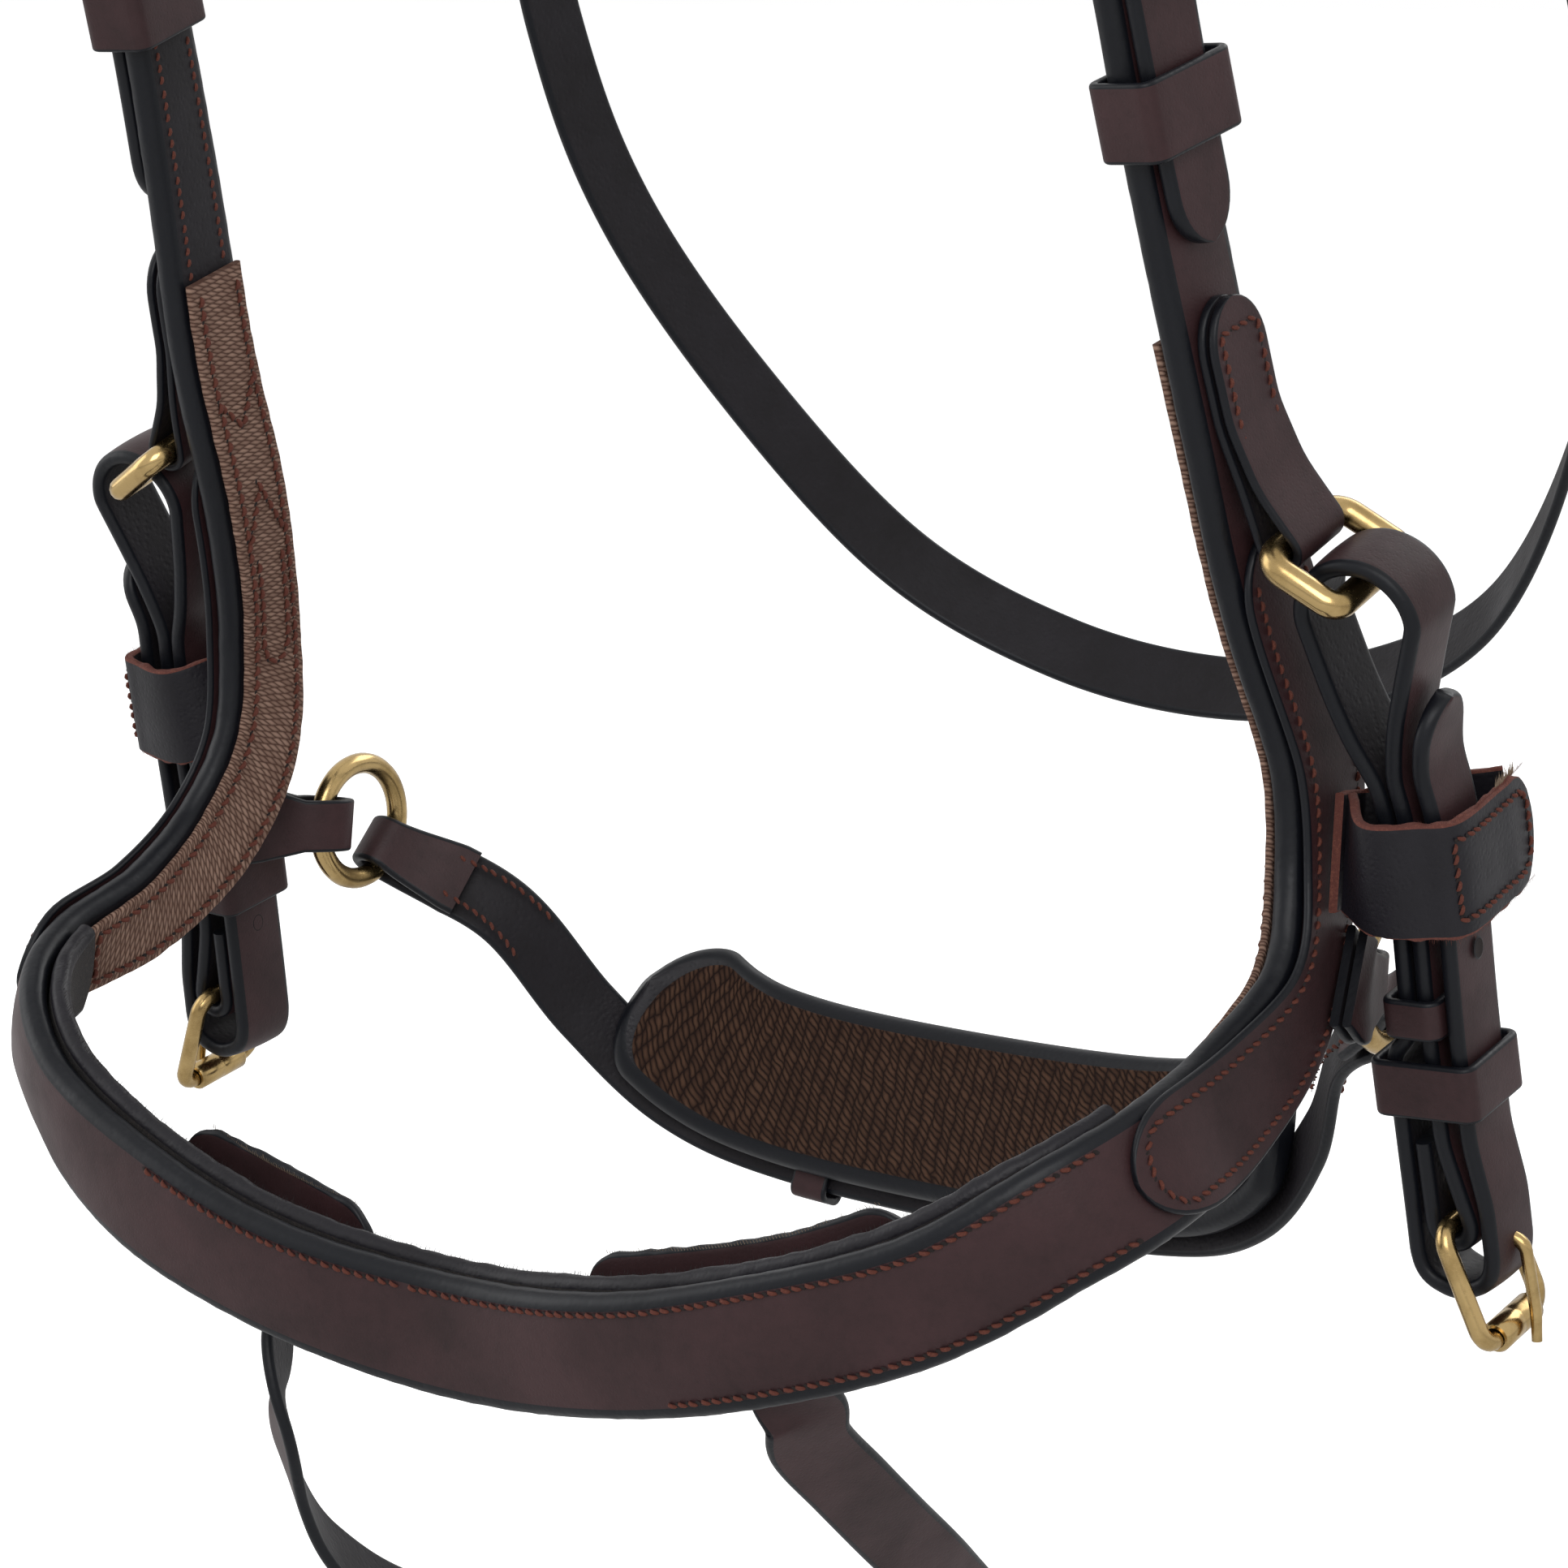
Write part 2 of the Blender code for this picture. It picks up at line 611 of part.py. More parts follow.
# Cheek rings: each hangs in a chape sewn to the arm, and stands outward and down from it.
ring_half = strap_width / 2 + ring_play + ring_wire
ring_angle = math.radians(ring_tilt)
chape_leaves = arm_thickness / 2 + lay + thin_leather + lay / 2
bit_shares = ((1.11, 0.182, -0.167), (1.138, 0.277, -0.317), (1.147, 0.388, -0.583))
bit_shares += ((1.165, 0.5, -0.875), (1.17, 0.517, -0.983))
chape_shares = ((0.35, 0.31), (0.27, 0.35), (0.2, 0.46), (0.12, 0.7))
for side, word in ((1, "left"), (-1, "right")):
    line = face_lines[side]
    ring_s = line.near(ring_rise)
    bar_s = ring_s + ring_depth * math.cos(ring_angle)
    bar_out = ring_out + ring_depth * math.sin(ring_angle)
    centre = [(line.near(cheek_rise * rise), max(ring_out * share, chape_leaves)) for rise, share in chape_shares]
    leaf = (thin_leather + lay) / 2
    leaves = (leaf, leaf, leaf, leaf * 1.3, ring_wire + gap + thin_leather / 2)
    chape_path = folded([*centre, (ring_s, ring_out)], leaves)
    strap(word + "_ring_chape", line, chape_path, strap_width, thin_leather, brown)
    ahead = line.frame(ring_s)[3].normalized()
    hinge, bar = line.at(ring_s, ring_out), line.at(bar_s, bar_out)
    along = (bar - hinge).normalized()
    corners = (ring_wire, ring_wire * 1.7)
    loop = rounded_loop((hinge + bar) / 2, along, ahead, ring_depth / 2, ring_half, corners)
    ring = wire(word + "_cheek_ring", loop, ring_wire, brass, closed=True)
    hang(word + "_ring_hinge", hinge, [ring])

    # Bit strap: up from its buckle, over the ring's bar, down behind, and up again as the billet.
    controls = [bar, *placed(bit_shares, nose_size, side)]
    down = Line(controls, [Vector((side, 0, 0))] * len(controls), side)
    pitch = leather + lay
    fold = buckle_wire + gap + leather / 2
    arch_at = arch_radius - leather / 2 - ring_wire - keeper_play * 1.6
    turn_out = -pitch * 2
    billet_high = fold + leather + lay * 0.7
    turn_radius = (billet_high - turn_out) / 2
    billet_low = pitch + thin_leather
    path = [(bundle_heel - strap_width, -pitch), *arc((bundle_heel, 0), fold, -90, 90)]
    path += [(bundle_heel - strap_width, 0), (bundle_top, 0), (bundle_top * 0.55, arch_radius * 0.55)]
    path += arc((arch_at, 0), arch_radius, 90, 270, arc_steps + 2)
    path += [(bundle_top * 0.55, -arch_radius * 0.72), (bundle_top, -pitch)]
    path.append((small_loop_at + keeper_height * 0.4, -pitch))
    path += [(bundle_keeper_at - keeper_height / 2, turn_out), (bundle_end - turn_radius, turn_out)]
    path += arc((bundle_end, (billet_high + turn_out) / 2), turn_radius, -90, 90)
    path += [(bundle_heel - fold, billet_high), (bundle_heel - strap_width, billet_low)]
    path += [(bundle_top, billet_low), (bundle_top * 0.6, billet_low + arch_radius * 0.5)]
    bit = strap(word + "_bit_strap", down, path, strap_width, leather, brown, tips=(False, True))
    name = word + "_bit_buckle"
    toe = (buckle_reach * 1.16, buckle_reach * 0.38)
    pieces = buckle(name, down, (bundle_heel, 0), 1, toe, billet_high, bit, bit, leather, roller=True)
    half, room = strap_width / 2 + keeper_play, leather / 2 + keeper_play
    layers = (half, turn_out - room, billet_low + room)
    pieces.append(band(word + "_bit_keeper", down, bundle_keeper_at, keeper_height, layers, thin_leather, brown))
    two = (half, -pitch - room, leather / 2 + gap)
    pieces.append(band(word + "_bit_loop", down, small_loop_at, keeper_height * 0.7, two, thin_leather, brown))
    hang(word + "_bit_hinge", bar, [bit, *pieces])

    # Wrap: an inner wing and a flap sewn to the arm, meeting behind the straps that they hold.
    held = strap_width / 2 + lay * 2
    inner_out = -pitch - (leather + thin_leather) / 2 - wrap_play
    flap_out = billet_low + (leather + thin_leather) / 2 + wrap_play * 0.7
    wrap_point, wrap_down = down.frame(wrap_at)[:2]
    arm_s = line.near(wrap_point.z - middle.z)
    arm_down = line.frame(arm_s)[1].normalized() * wrap_height / 2
    foot_out = lap_out + thin_leather + lay
    steps = ((0.21, 1.07), (0.1, 1.07), (-0.02, 1.07), (-0.16, 1.2))
    feet = [(line.at(arm_s, foot_out * rise, arm_width * share), arm_down) for share, rise in steps]
    across = [(held * 0.5, inner_out * 1.04), (held, inner_out * 0.95)]
    across += [(held * 1.4, inner_out * 0.3), (held + wrap_tip * 0.75, flap_out * 0.62)]
    wing = feet + [(down.at(wrap_at, o, -u), wrap_down.normalized() * wrap_height / 2) for u, o in across]
    ribbon(word + "_wrap", rounded_way(wing), thin_leather, brown)
    root = line.at(arm_s, foot_out + thin_leather + lay, arm_width * 0.15)
    across = [(-held * 1.3, inner_out * 0.6), (-held * 1.12, flap_out * 0.45), (-held * 0.75, flap_out)]
    across += [(held * 0.8, flap_out), (held * 1.4, flap_out * 0.97), (held + wrap_tip * 0.85, flap_out * 0.85)]
    flap_half = wrap_down.normalized() * wrap_height / 2
    wing = [(root, arm_down), *[(down.at(wrap_at, o, -u), flap_half) for u, o in across]]
    tip_shares = (0.88, 0.96, 1)
    tip = []
    for share in tip_shares:
        half = flap_half * tip_width(1 - share, 0.2)
        tip.append((down.at(wrap_at, flap_out * 0.85, -held - wrap_tip * share), half))
    flap = ribbon(word + "_wrap_flap", rounded_way(wing) + tip, thin_leather, brown)
    hang(word + "_flap_hinge", root, [flap])


# Chin: a tab and a round ring on each side, a pad, and a strap under it that buckles at the back.
chin_shares = ((0.83, 0.682, -0.655), (0.726, 0.807, -0.805), (0.587, 0.9, -0.925))
chin_shares += ((0.385, 0.966, -0.982), (0, 1, -1))
chin_size = (chin_half_width, chin_depth, chin_drop)
ring_centre = middle + Vector((chin_half_width, chin_ring_back, -chin_ring_drop))
hold = Vector((0, 0.755, -0.655)) * chin_radius
slack = chin_radius - math.sqrt(chin_radius**2 - (eye_width / 2) ** 2) + gap


def tab_taper(s):
    share = min(max((chin_tab_width - s) / (chin_tab_width * 0.7), 0), 1)
    return eye_width + (chin_tab_width - eye_width) * share


for side, word in ((1, "left"), (-1, "right")):
    line = face_lines[side]
    spot = Vector((side * ring_centre.x, ring_centre.y, ring_centre.z))
    tab_s = line.near(-nose_drop * 0.5)
    tab_out = lap_out + thin_leather * 1.5 + lay * 1.5
    tab_start = line.at(tab_s, tab_out, -arm_width * 0.22)
    tab_edge = line.at(tab_s, tab_out, -arm_width * 0.6)
    front = spot + Vector((0, *(tab_edge - spot).yz)).normalized() * chin_radius
    tab_way = line.frame(tab_s)[2]
    tab_line = Line([tab_start, tab_edge, front], [tab_way, tab_way, Vector((side, 0, 0))], side)
    leaf = (thin_leather + lay) / 2
    end = tab_line.length
    wide = chin_wire + lay * 1.5 + gap + thin_leather / 2
    centre = [(0, 0), (end * 0.55, 0), (end - chin_wire, 0), (end + slack + gap, 0)]
    tab_path = folded(centre, (leaf, leaf, wide, wide))
    strap(word + "_chin_tab", tab_line, tab_path, chin_tab_width, thin_leather, brown, widths=tab_taper)
    turn = [math.radians(angle) for angle in range(0, 360, 15)]
    circle = [spot + Vector((0, math.cos(a), math.sin(a))) * chin_radius for a in turn]
    hang(word + "_chin_ring_hinge", spot, [wire(word + "_chin_ring", circle, chin_wire, brass, closed=True)])

chin_half = [ring_centre + hold, *placed(chin_shares, chin_size)]
chin_controls = there_and_back(chin_half)
chin_ways = [Vector((p.x / chin_half_width * 0.9, (p.y - crown_back) / chin_depth, -0.38)) for p in chin_controls]
chin_line = Line(chin_controls, chin_ways)


def chin_taper(s):
    share = min(max(min(s, chin_line.length - s) / turned_end, 0), 1)
    return eye_width + (strap_width - eye_width) * share


def pad_end(s):
    left = max(chin_pad_reach - abs(s - chin_line.length / 2), 0)
    return chin_pad_width * tip_width(left, chin_pad_width * 0.3)


eye = chin_wire + gap + soft_leather / 2
chin_heel = chin_line.length / 2 + eye_width
ring_loops = (round_wire(chin_line.length, -1, eye, slack), round_wire(0, 1, eye, slack))
chin_pieces = fasten("chin", chin_line, chin_heel, -1, *ring_loops, turned_end * 2.7, chin_taper)
pad_out = -(soft_leather + chin_pad_thickness) / 2 - lay
near, far = chin_line.length / 2 - chin_pad_reach, chin_line.length / 2 + chin_pad_reach
steps = (0, 0.02, 0.06)
pad_path = [(near + (far - near) * k, pad_out) for k in (*steps, *[1 - k for k in reversed(steps)])]
pad = strap(
    "chin_pad", chin_line, pad_path, chin_pad_width, chin_pad_thickness, hook_tape,
    rounding=edge_round * 2, widths=pad_end, ahead=-chin_pad_rise,
)
groove_at = chin_heel + turned_end * 1.4 + keeper_height * 0.7
groove_out = -soft_leather / 2 - gap - thin_leather / 2
groove = (keeper_height, strap_width + thin_leather * 4, thin_leather + lay * 2)
cut_box("chin_pad_groove", chin_line, groove_at, groove_out, groove, pad)
hang("chin_hinge", Vector((0, *ring_centre.yz)), [*chin_pieces, pad])

# Throatlatch: it comes out from under the crown on each side and buckles on the right.
throat_shares = ((0.912, 0.275, 0.545), (0.961, 0.472, 0.379), (1, 0.595, 0.227), (0.961, 0.687, 0.121))
under_shares = ((0.833, 0.81, 0.015), (0.608, 0.92, -0.085), (0.314, 0.98, -0.136), (0, 1, -0.1515))
throat_size = (jaw_half_width, jaw_depth, crown_rise)
anchor_at = face_line.near(throat_rise)
anchor = face_line.at(anchor_at, -leather - lay, -crown_width * 0.22)
leave_at = face_line.near(throat_rise * 0.9)
leave = face_line.at(leave_at, -leather - lay, -crown_width * 0.5)
throat_controls = there_and_back([anchor, leave, *placed((*throat_shares, *under_shares), throat_size)])
throat_ways = []
for point in throat_controls:
    x, y, z = point - middle
    throat_ways.append(Vector((x / jaw_half_width, y / jaw_depth * 1.2 - 0.45, min(z / crown_rise - 0.4, 0))))
for k, side, at in ((0, 1, anchor_at), (1, 1, leave_at), (-1, -1, anchor_at), (-2, -1, leave_at)):
    throat_ways[k] = face_lines[side].frame(at)[2]
throat_line = Line(throat_controls, throat_ways)
throat_heel = throat_line.length - throat_line.near(crown_rise * 0.52)
ends = ([(0, 0)], [(throat_line.length, 0)])
throat_pieces = fasten("throat", throat_line, throat_heel, 1, *ends, turned_end * 3.2)
hang("throat_hinge", Vector((0, *anchor.yz)), throat_pieces)

# Lower strap: two legs from the inside of the front band that meet below the chin and buckle on the right.
left_leg_shares = ((0.898, -0.577, -0.639), (0.878, -0.423, -0.689), (0.85, -0.256, -0.741), (0.8, 0.0, -0.818))
left_leg_shares += ((0.7, 0.3, -0.91), (0.42, 0.54, -0.98), (0, 0.56, -1))
right_leg_shares = ((0.67, -0.66, -0.7), (0.71, -0.58, -0.775), (0.71, -0.45, -0.85), (0.64, -0.2, -0.925))
right_leg_shares += ((0.42, 0.2, -0.978),)
lower_size = (loop_half_width, loop_depth, loop_drop)
leg_out = -(arm_thickness + soft_leather) / 2 - lining_thickness - lay * 3.5
leg_at = {1: half_length - nose_half_width * 0.53, -1: half_length - nose_half_width * 0.39}
lower_halves, leg_exits = [], []
for side, leg_shares in ((1, left_leg_shares), (-1, right_leg_shares)):
    line, at = face_lines[side], leg_at[side]
    leg = [line.at(at, leg_out, band_width * share) for share in (0.2, -0.15)]
    leg_exits.append(line.at(at, leg_out, -band_width * 0.5))
    leg += [leg_exits[-1], line.at(at, leg_out * 1.4, -band_width * 0.76)]
    lower_halves.append([*leg, *placed(leg_shares, lower_size, side)])
lower_controls = [*lower_halves[0], *reversed(lower_halves[1])]
lower_ways = []
for point in lower_controls:
    x, y, z = point - middle
    lower_ways.append(Vector((x / loop_half_width * 0.9, y / loop_depth * 1.2 + 0.2, -0.6)))
for k in range(3):
    lower_ways[k] = face_lines[1].frame(leg_at[1])[2]
    lower_ways[-1 - k] = face_lines[-1].frame(leg_at[-1])[2]
lower_line = Line(lower_controls, lower_ways)
lower_heel = lower_line.length * 0.5 + strap_width * 1.08
ends = ([(0, 0)], [(lower_line.length, 0)])
lower_pieces = fasten("lower", lower_line, lower_heel, 1, *ends, turned_end * 2.7)
hang("lower_hinge", Vector((0, *((leg_exits[0] + leg_exits[1]) / 2).yz)), lower_pieces)
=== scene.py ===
from bisect import bisect_right
from math import atan2, copysign, cos, degrees, dist, hypot, pi, radians, sin, sqrt, tau

import bmesh
import bpy
from mathutils import Matrix, Vector
from mathutils.noise import noise


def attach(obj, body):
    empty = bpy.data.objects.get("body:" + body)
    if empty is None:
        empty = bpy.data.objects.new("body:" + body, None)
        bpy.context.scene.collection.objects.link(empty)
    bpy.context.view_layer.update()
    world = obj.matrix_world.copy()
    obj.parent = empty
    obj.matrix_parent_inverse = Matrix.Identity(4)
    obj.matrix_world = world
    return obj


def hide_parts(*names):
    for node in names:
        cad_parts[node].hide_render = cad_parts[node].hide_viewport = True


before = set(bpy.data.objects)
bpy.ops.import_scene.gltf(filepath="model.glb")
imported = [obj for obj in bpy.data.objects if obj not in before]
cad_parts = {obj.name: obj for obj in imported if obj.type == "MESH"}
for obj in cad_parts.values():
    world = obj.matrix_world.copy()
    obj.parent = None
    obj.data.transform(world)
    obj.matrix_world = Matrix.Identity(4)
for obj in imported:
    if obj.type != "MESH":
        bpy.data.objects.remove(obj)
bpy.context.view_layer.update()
print("frame loaded:", len(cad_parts), "solids")

middle = Vector((0, 0.005, -0.330))  # between the cheek rings, where the view looks

# View: a long lens from the horse's front left, a little above the noseband
view = {"turn": 36, "rise": 10.6, "away": 0.694, "right": 0.016, "up": -0.0426, "lens": 100.6, "film": 36,
        "near": 0.05}


def addCamera():
    a, e = radians(view["turn"]), radians(view["rise"])
    right = Vector((cos(a), sin(a), 0))
    ahead = Vector((-sin(a) * cos(e), cos(a) * cos(e), -sin(e)))
    up = right.cross(ahead)
    camera = bpy.data.objects.new("camera", bpy.data.cameras.new("camera"))
    bpy.context.scene.collection.objects.link(camera)
    camera.data.lens, camera.data.sensor_width, camera.data.clip_start = view["lens"], view["film"], view["near"]
    place = middle + right * view["right"] + up * view["up"] - ahead * view["away"]
    camera.matrix_world = Matrix.Translation(place) @ Matrix((right, up, -ahead)).transposed().to_4x4()
    bpy.context.scene.camera = camera


addCamera()

# The head that the straps follow, as in the frame
crownRise, crownBack, pollHalf = 0.330, 0.005, 0.085
splitHeight, browRise, browDepth = 0.232, 0.222, 0.108
noseHalf, noseDepth, noseDrop, cheekRise = 0.109, 0.060, 0.120, 0.112
jawHalf, jawDepth, throatRise = 0.106, 0.168, 0.262
chinHalf, chinDepth, chinDrop = 0.106, 0.088, 0.131
loopHalf, loopDepth, loopDrop = 0.064, 0.078, 0.203

# leather layers
gap, lay = 0.0003, 0.0006
leather, thinLeather, softLeather = 0.0026, 0.0014, 0.0020
strapWidth, armWidth, armTopWidth, armThickness = 0.013, 0.018, 0.015, 0.0046
bandWidth, liningThickness = 0.0195, 0.0030
webbingWidth, webbingThickness = 0.0145, 0.0012
crownWidth, crownReach, padReach, padWidth, padThickness = 0.036, 0.112, 0.078, 0.048, 0.008
browWidth, chapeLength, turnedEnd = 0.016, 0.020, 0.013
chinTabWidth, chinPadReach, chinPadWidth, chinPadThickness, chinPadRise = 0.0165, 0.085, 0.0315, 0.006, 0.0118
eyeWidth, holeSize, keeperHeight, keeperPlay = 0.0094, 0.0034, 0.009, 0.0005

# brass
ringWire, ringDepth, ringTilt, ringPlay = 0.0021, 0.0125, 53, 0.0012
chinWire, chinRadius, chinRingBack, chinRingDrop = 0.0019, 0.0106, 0.041, 0.068
buckleWire, buckleReach, tongueWire, rollerWall = 0.0015, 0.0160, 0.0011, 0.0008

# bit straps, lengths down from the ring's bar
ringRise, ringOut, archRadius, bundleTop = 0.005, 0.0095, 0.0090, 0.030
wrapAt, wrapHeight, wrapPlay, wrapTip = 0.045, 0.018, 0.0024, 0.0100
smallLoopAt, bundleKeeperAt, bundleHeel, bundleEnd = 0.068, 0.0795, 0.1018, 0.1070


# Node groups shared by the finishes
def tone(r, g, b):  # a colour given 0 to 255, as the shader wants it
    return tuple(c / 12.92 if c <= 0.04045 else ((c + 0.055) / 1.055) ** 2.4 for c in (r / 255, g / 255, b / 255))


class Wiring:  # adds nodes to one tree and links or sets their inputs
    def __init__(self, tree):
        self.tree = tree

    def add(self, kind, inputs=None, **settings):
        made = self.tree.nodes.new("ShaderNode" + kind)
        for key, value in settings.items():
            setattr(made, key, value)
        for key, value in (inputs or {}).items():
            if hasattr(value, "is_output"):
                self.tree.links.new(value, made.inputs[key])
            else:
                made.inputs[key].default_value = value
        return made

    def calc(self, operation, *values):
        return self.add("Math", dict(enumerate(values)), operation=operation).outputs[0]

    def times(self, a, b):
        return self.calc("MULTIPLY", a, b)

    def plus(self, a, b):
        return self.calc("ADD", a, b)

    def ramp(self, value, low, high, toLow=0.0, toHigh=1.0):
        inputs = {"Value": value, "From Min": low, "From Max": high, "To Min": toLow, "To Max": toHigh}
        return self.add("MapRange", inputs).outputs["Result"]

    def noise(self, place, scale, detail, roughness=0.5):
        inputs = {"Vector": place, "Scale": scale, "Detail": detail, "Roughness": roughness}
        return self.add("TexNoise", inputs).outputs["Fac"]

    def mix(self, share, a, b):
        return self.add("Mix", {0: share, 6: a, 7: b}, data_type="RGBA").outputs[2]

    def place(self, kind="Object"):
        return self.add("TexCoord").outputs[kind]


def newGroup(name, wires, inputs):  # wires says how the outputs follow from the inputs
    group = bpy.data.node_groups.new(name, "ShaderNodeTree")
    for label, value in inputs.items():
        kind = "NodeSocketColor" if isinstance(value, tuple) else "NodeSocketFloat"
        socket = group.interface.new_socket(label, in_out="INPUT", socket_type=kind)
        socket.default_value = (*value, 1) if isinstance(value, tuple) else value
    made = wires(Wiring(group), group.nodes.new("NodeGroupInput").outputs)
    for label in made:
        kind = "NodeSocketColor" if label == "Color" else "NodeSocketFloat"
        group.interface.new_socket(label, in_out="OUTPUT", socket_type=kind)
    out = group.nodes.new("NodeGroupOutput")
    for label, value in made.items():
        group.links.new(value, out.inputs[label])
    return group


def grainWires(w, given):  # pores, creases and mottle of tanned leather
    place = w.place()
    cloud, grit = w.noise(place, 46.0, 4.0, 0.62), w.noise(place, 620.0, 3.0, 0.7)
    cell = w.add("TexVoronoi", {"Vector": place, "Scale": given["Pores"]}).outputs["Distance"]
    speck = w.times(w.ramp(grit, 0.45, 0.8), 0.35)
    share = w.plus(w.times(w.ramp(cloud, 0.34, 0.7), given["Mottle"]), w.times(speck, given["Mottle"]))
    return {"Color": w.mix(share, given["Tone"], given["Shade"]),
            "Roughness": w.calc("MULTIPLY_ADD", w.ramp(cloud, 0.3, 0.75), given["Spread"], given["Gloss"]),
            "Height": w.calc("MULTIPLY_ADD", w.ramp(cell, 0.05, 0.5), 0.45, w.times(grit, 0.6))}


def weaveWires(w, given):  # rows of slanted threads across a tape; UV is in metres; the colour is darker in the gaps between threads as painted shade, and varies from thread to thread at random
    uv = w.place("UV")
    across, along, _ = w.add("SeparateXYZ", {"Vector": uv}).outputs
    sway = w.times(w.calc("SUBTRACT", w.noise(uv, 240.0, 2.0), 0.5), given["Fray"])
    row = w.plus(w.times(across, given["Rows"]), sway)
    rowIndex, rowPart = w.calc("FLOOR", row), w.calc("FRACT", row)
    column = w.plus(w.times(along, given["Columns"]), w.times(rowPart, given["Slant"]))
    column = w.plus(column, w.times(rowIndex, 0.5))
    hump = [w.calc("SINE", w.times(part, pi)) for part in (rowPart, w.calc("FRACT", column))]
    bump = w.times(w.calc("POWER", hump[0], 0.5), w.calc("POWER", hump[1], 0.7))
    spot = w.add("CombineXYZ", {"X": rowIndex, "Y": w.calc("FLOOR", column)}).outputs[0]
    chance = w.add("TexWhiteNoise", {"Vector": spot}, noise_dimensions="3D").outputs["Value"]
    lift = w.times(bump, w.ramp(chance, 0, 1, 0.55, 1.0))
    # colour follows the height: the low gaps get painted shade; the per-thread chance is a real change of tone
    return {"Color": w.mix(w.ramp(lift, 0.12, 0.85), given["Between"], given["Thread"]), "Height": lift}


def napWires(w, given):  # short standing fibres
    place = w.place()
    tuft, patch = w.noise(place, given["Fineness"], 5.0, 0.8), w.noise(place, 150.0, 2.0)
    share = w.times(w.ramp(tuft, 0.5, 0.72), w.ramp(patch, 0.3, 0.7, 0.35, 1.0))
    return {"Color": w.mix(share, given["Tone"], given["Tips"]), "Height": tuft}


def polishWires(w, given):  # tarnish and fine scratches of handled brass
    place = w.place()
    patch = w.noise(place, 130.0, 4.0, 0.65)
    stretched = w.add("Mapping", {"Vector": place, "Scale": (300.0, 900.0, 2600.0)}).outputs[0]
    scratch = w.noise(stretched, 1.0, 3.0, 0.75)
    share = w.times(w.ramp(patch, 0.42, 0.68), given["Tarnish"])
    rough = w.plus(w.ramp(patch, 0.35, 0.7, 0.17, 0.34), w.ramp(scratch, 0.55, 0.75, 0.0, 0.12))
    return {"Color": w.mix(share, given["Bright"], given["Dull"]), "Roughness": rough, "Height": scratch}


black = (0.0, 0.0, 0.0)
grain = newGroup("hideGrain", grainWires, {
    "Tone": black, "Shade": black, "Mottle": 0.5, "Pores": 1500.0, "Gloss": 0.42, "Spread": 0.16})
weave = newGroup("tapeWeave", weaveWires, {
    "Thread": black, "Between": black, "Rows": 900.0, "Columns": 1100.0, "Slant": 0.6, "Fray": 0.3})
nap = newGroup("fibreNap", napWires, {"Tone": black, "Tips": black, "Fineness": 1600.0})
polish = newGroup("handledMetal", polishWires, {"Bright": black, "Dull": black, "Tarnish": 0.5})


def newMaterial(name):
    made = bpy.data.materials.new(name)
    made.use_nodes = True
    return made, made.node_tree, made.node_tree.nodes["Principled BSDF"]


def newFinish(name, group, bump, shine=0.5, rough=0.5, metal=0.0, **values):  # bump is (strength, distance)
    made, tree, shader = newMaterial(name)
    for key, value in (("Specular IOR Level", shine), ("Roughness", rough), ("Metallic", metal)):
        shader.inputs[key].default_value = value
    effect = tree.nodes.new("ShaderNodeGroup")
    effect.node_tree = group
    for key, value in values.items():
        effect.inputs[key].default_value = (*tone(*value), 1) if isinstance(value, tuple) else value
    tree.links.new(effect.outputs["Color"], shader.inputs["Base Color"])
    if "Roughness" in effect.outputs:
        tree.links.new(effect.outputs["Roughness"], shader.inputs["Roughness"])
    lift = {"Height": effect.outputs["Height"], "Strength": bump[0], "Distance": bump[1]}
    tree.links.new(Wiring(tree).add("Bump", lift).outputs["Normal"], shader.inputs["Normal"])
    return made


bridleLeather = newFinish("bridleLeather", grain, (0.30, 0.00012), 0.24, Tone=(57, 36, 38), Shade=(33, 20, 21),
                          Mottle=0.75, Pores=1700.0, Gloss=0.42, Spread=0.16)
darkLeather = newFinish("darkLeather", grain, (0.45, 0.00018), 0.26, Tone=(24, 22, 28), Shade=(14, 12, 15),
                        Mottle=0.6, Pores=1100.0, Gloss=0.40, Spread=0.18)
fleshSide = newFinish("fleshSide", grain, (0.5, 0.0002), 0.22, Tone=(24, 21, 26), Shade=(15, 12, 14),
                      Mottle=0.8, Pores=900.0, Gloss=0.5, Spread=0.2)
paintedEdge = newFinish("paintedEdge", grain, (0.25, 0.0002), 0.22, Tone=(14, 16, 22), Shade=(9, 10, 14),
                        Mottle=0.5, Pores=700.0, Gloss=0.36, Spread=0.14)
rawEdge = newFinish("rawEdge", nap, (0.7, 0.0003), rough=0.9, Tone=(92, 48, 40), Tips=(140, 84, 66),
                    Fineness=1900.0)
loopLining = newFinish("loopLining", nap, (0.8, 0.0005), rough=0.95, Tone=(26, 22, 22), Tips=(70, 60, 55),
                       Fineness=1500.0)
# armTape and hookFace: the darker second colour is painted shade in the gaps between threads
armTape = newFinish("armTape", weave, (0.8, 0.0004), 0.15, 0.88, Thread=(150, 122, 107), Between=(82, 58, 49),
                    Rows=900.0, Columns=560.0, Slant=1.1, Fray=0.5)
hookFace = newFinish("hookFace", weave, (0.9, 0.0005), 0.12, 0.92, Thread=(80, 58, 46), Between=(33, 22, 19),
                     Rows=430.0, Columns=800.0, Slant=1.4, Fray=1.2)
seamThread = newFinish("seamThread", nap, (0.4, 0.0001), 0.2, 0.75, Tone=(88, 47, 38), Tips=(122, 74, 60),
                       Fineness=3600.0)
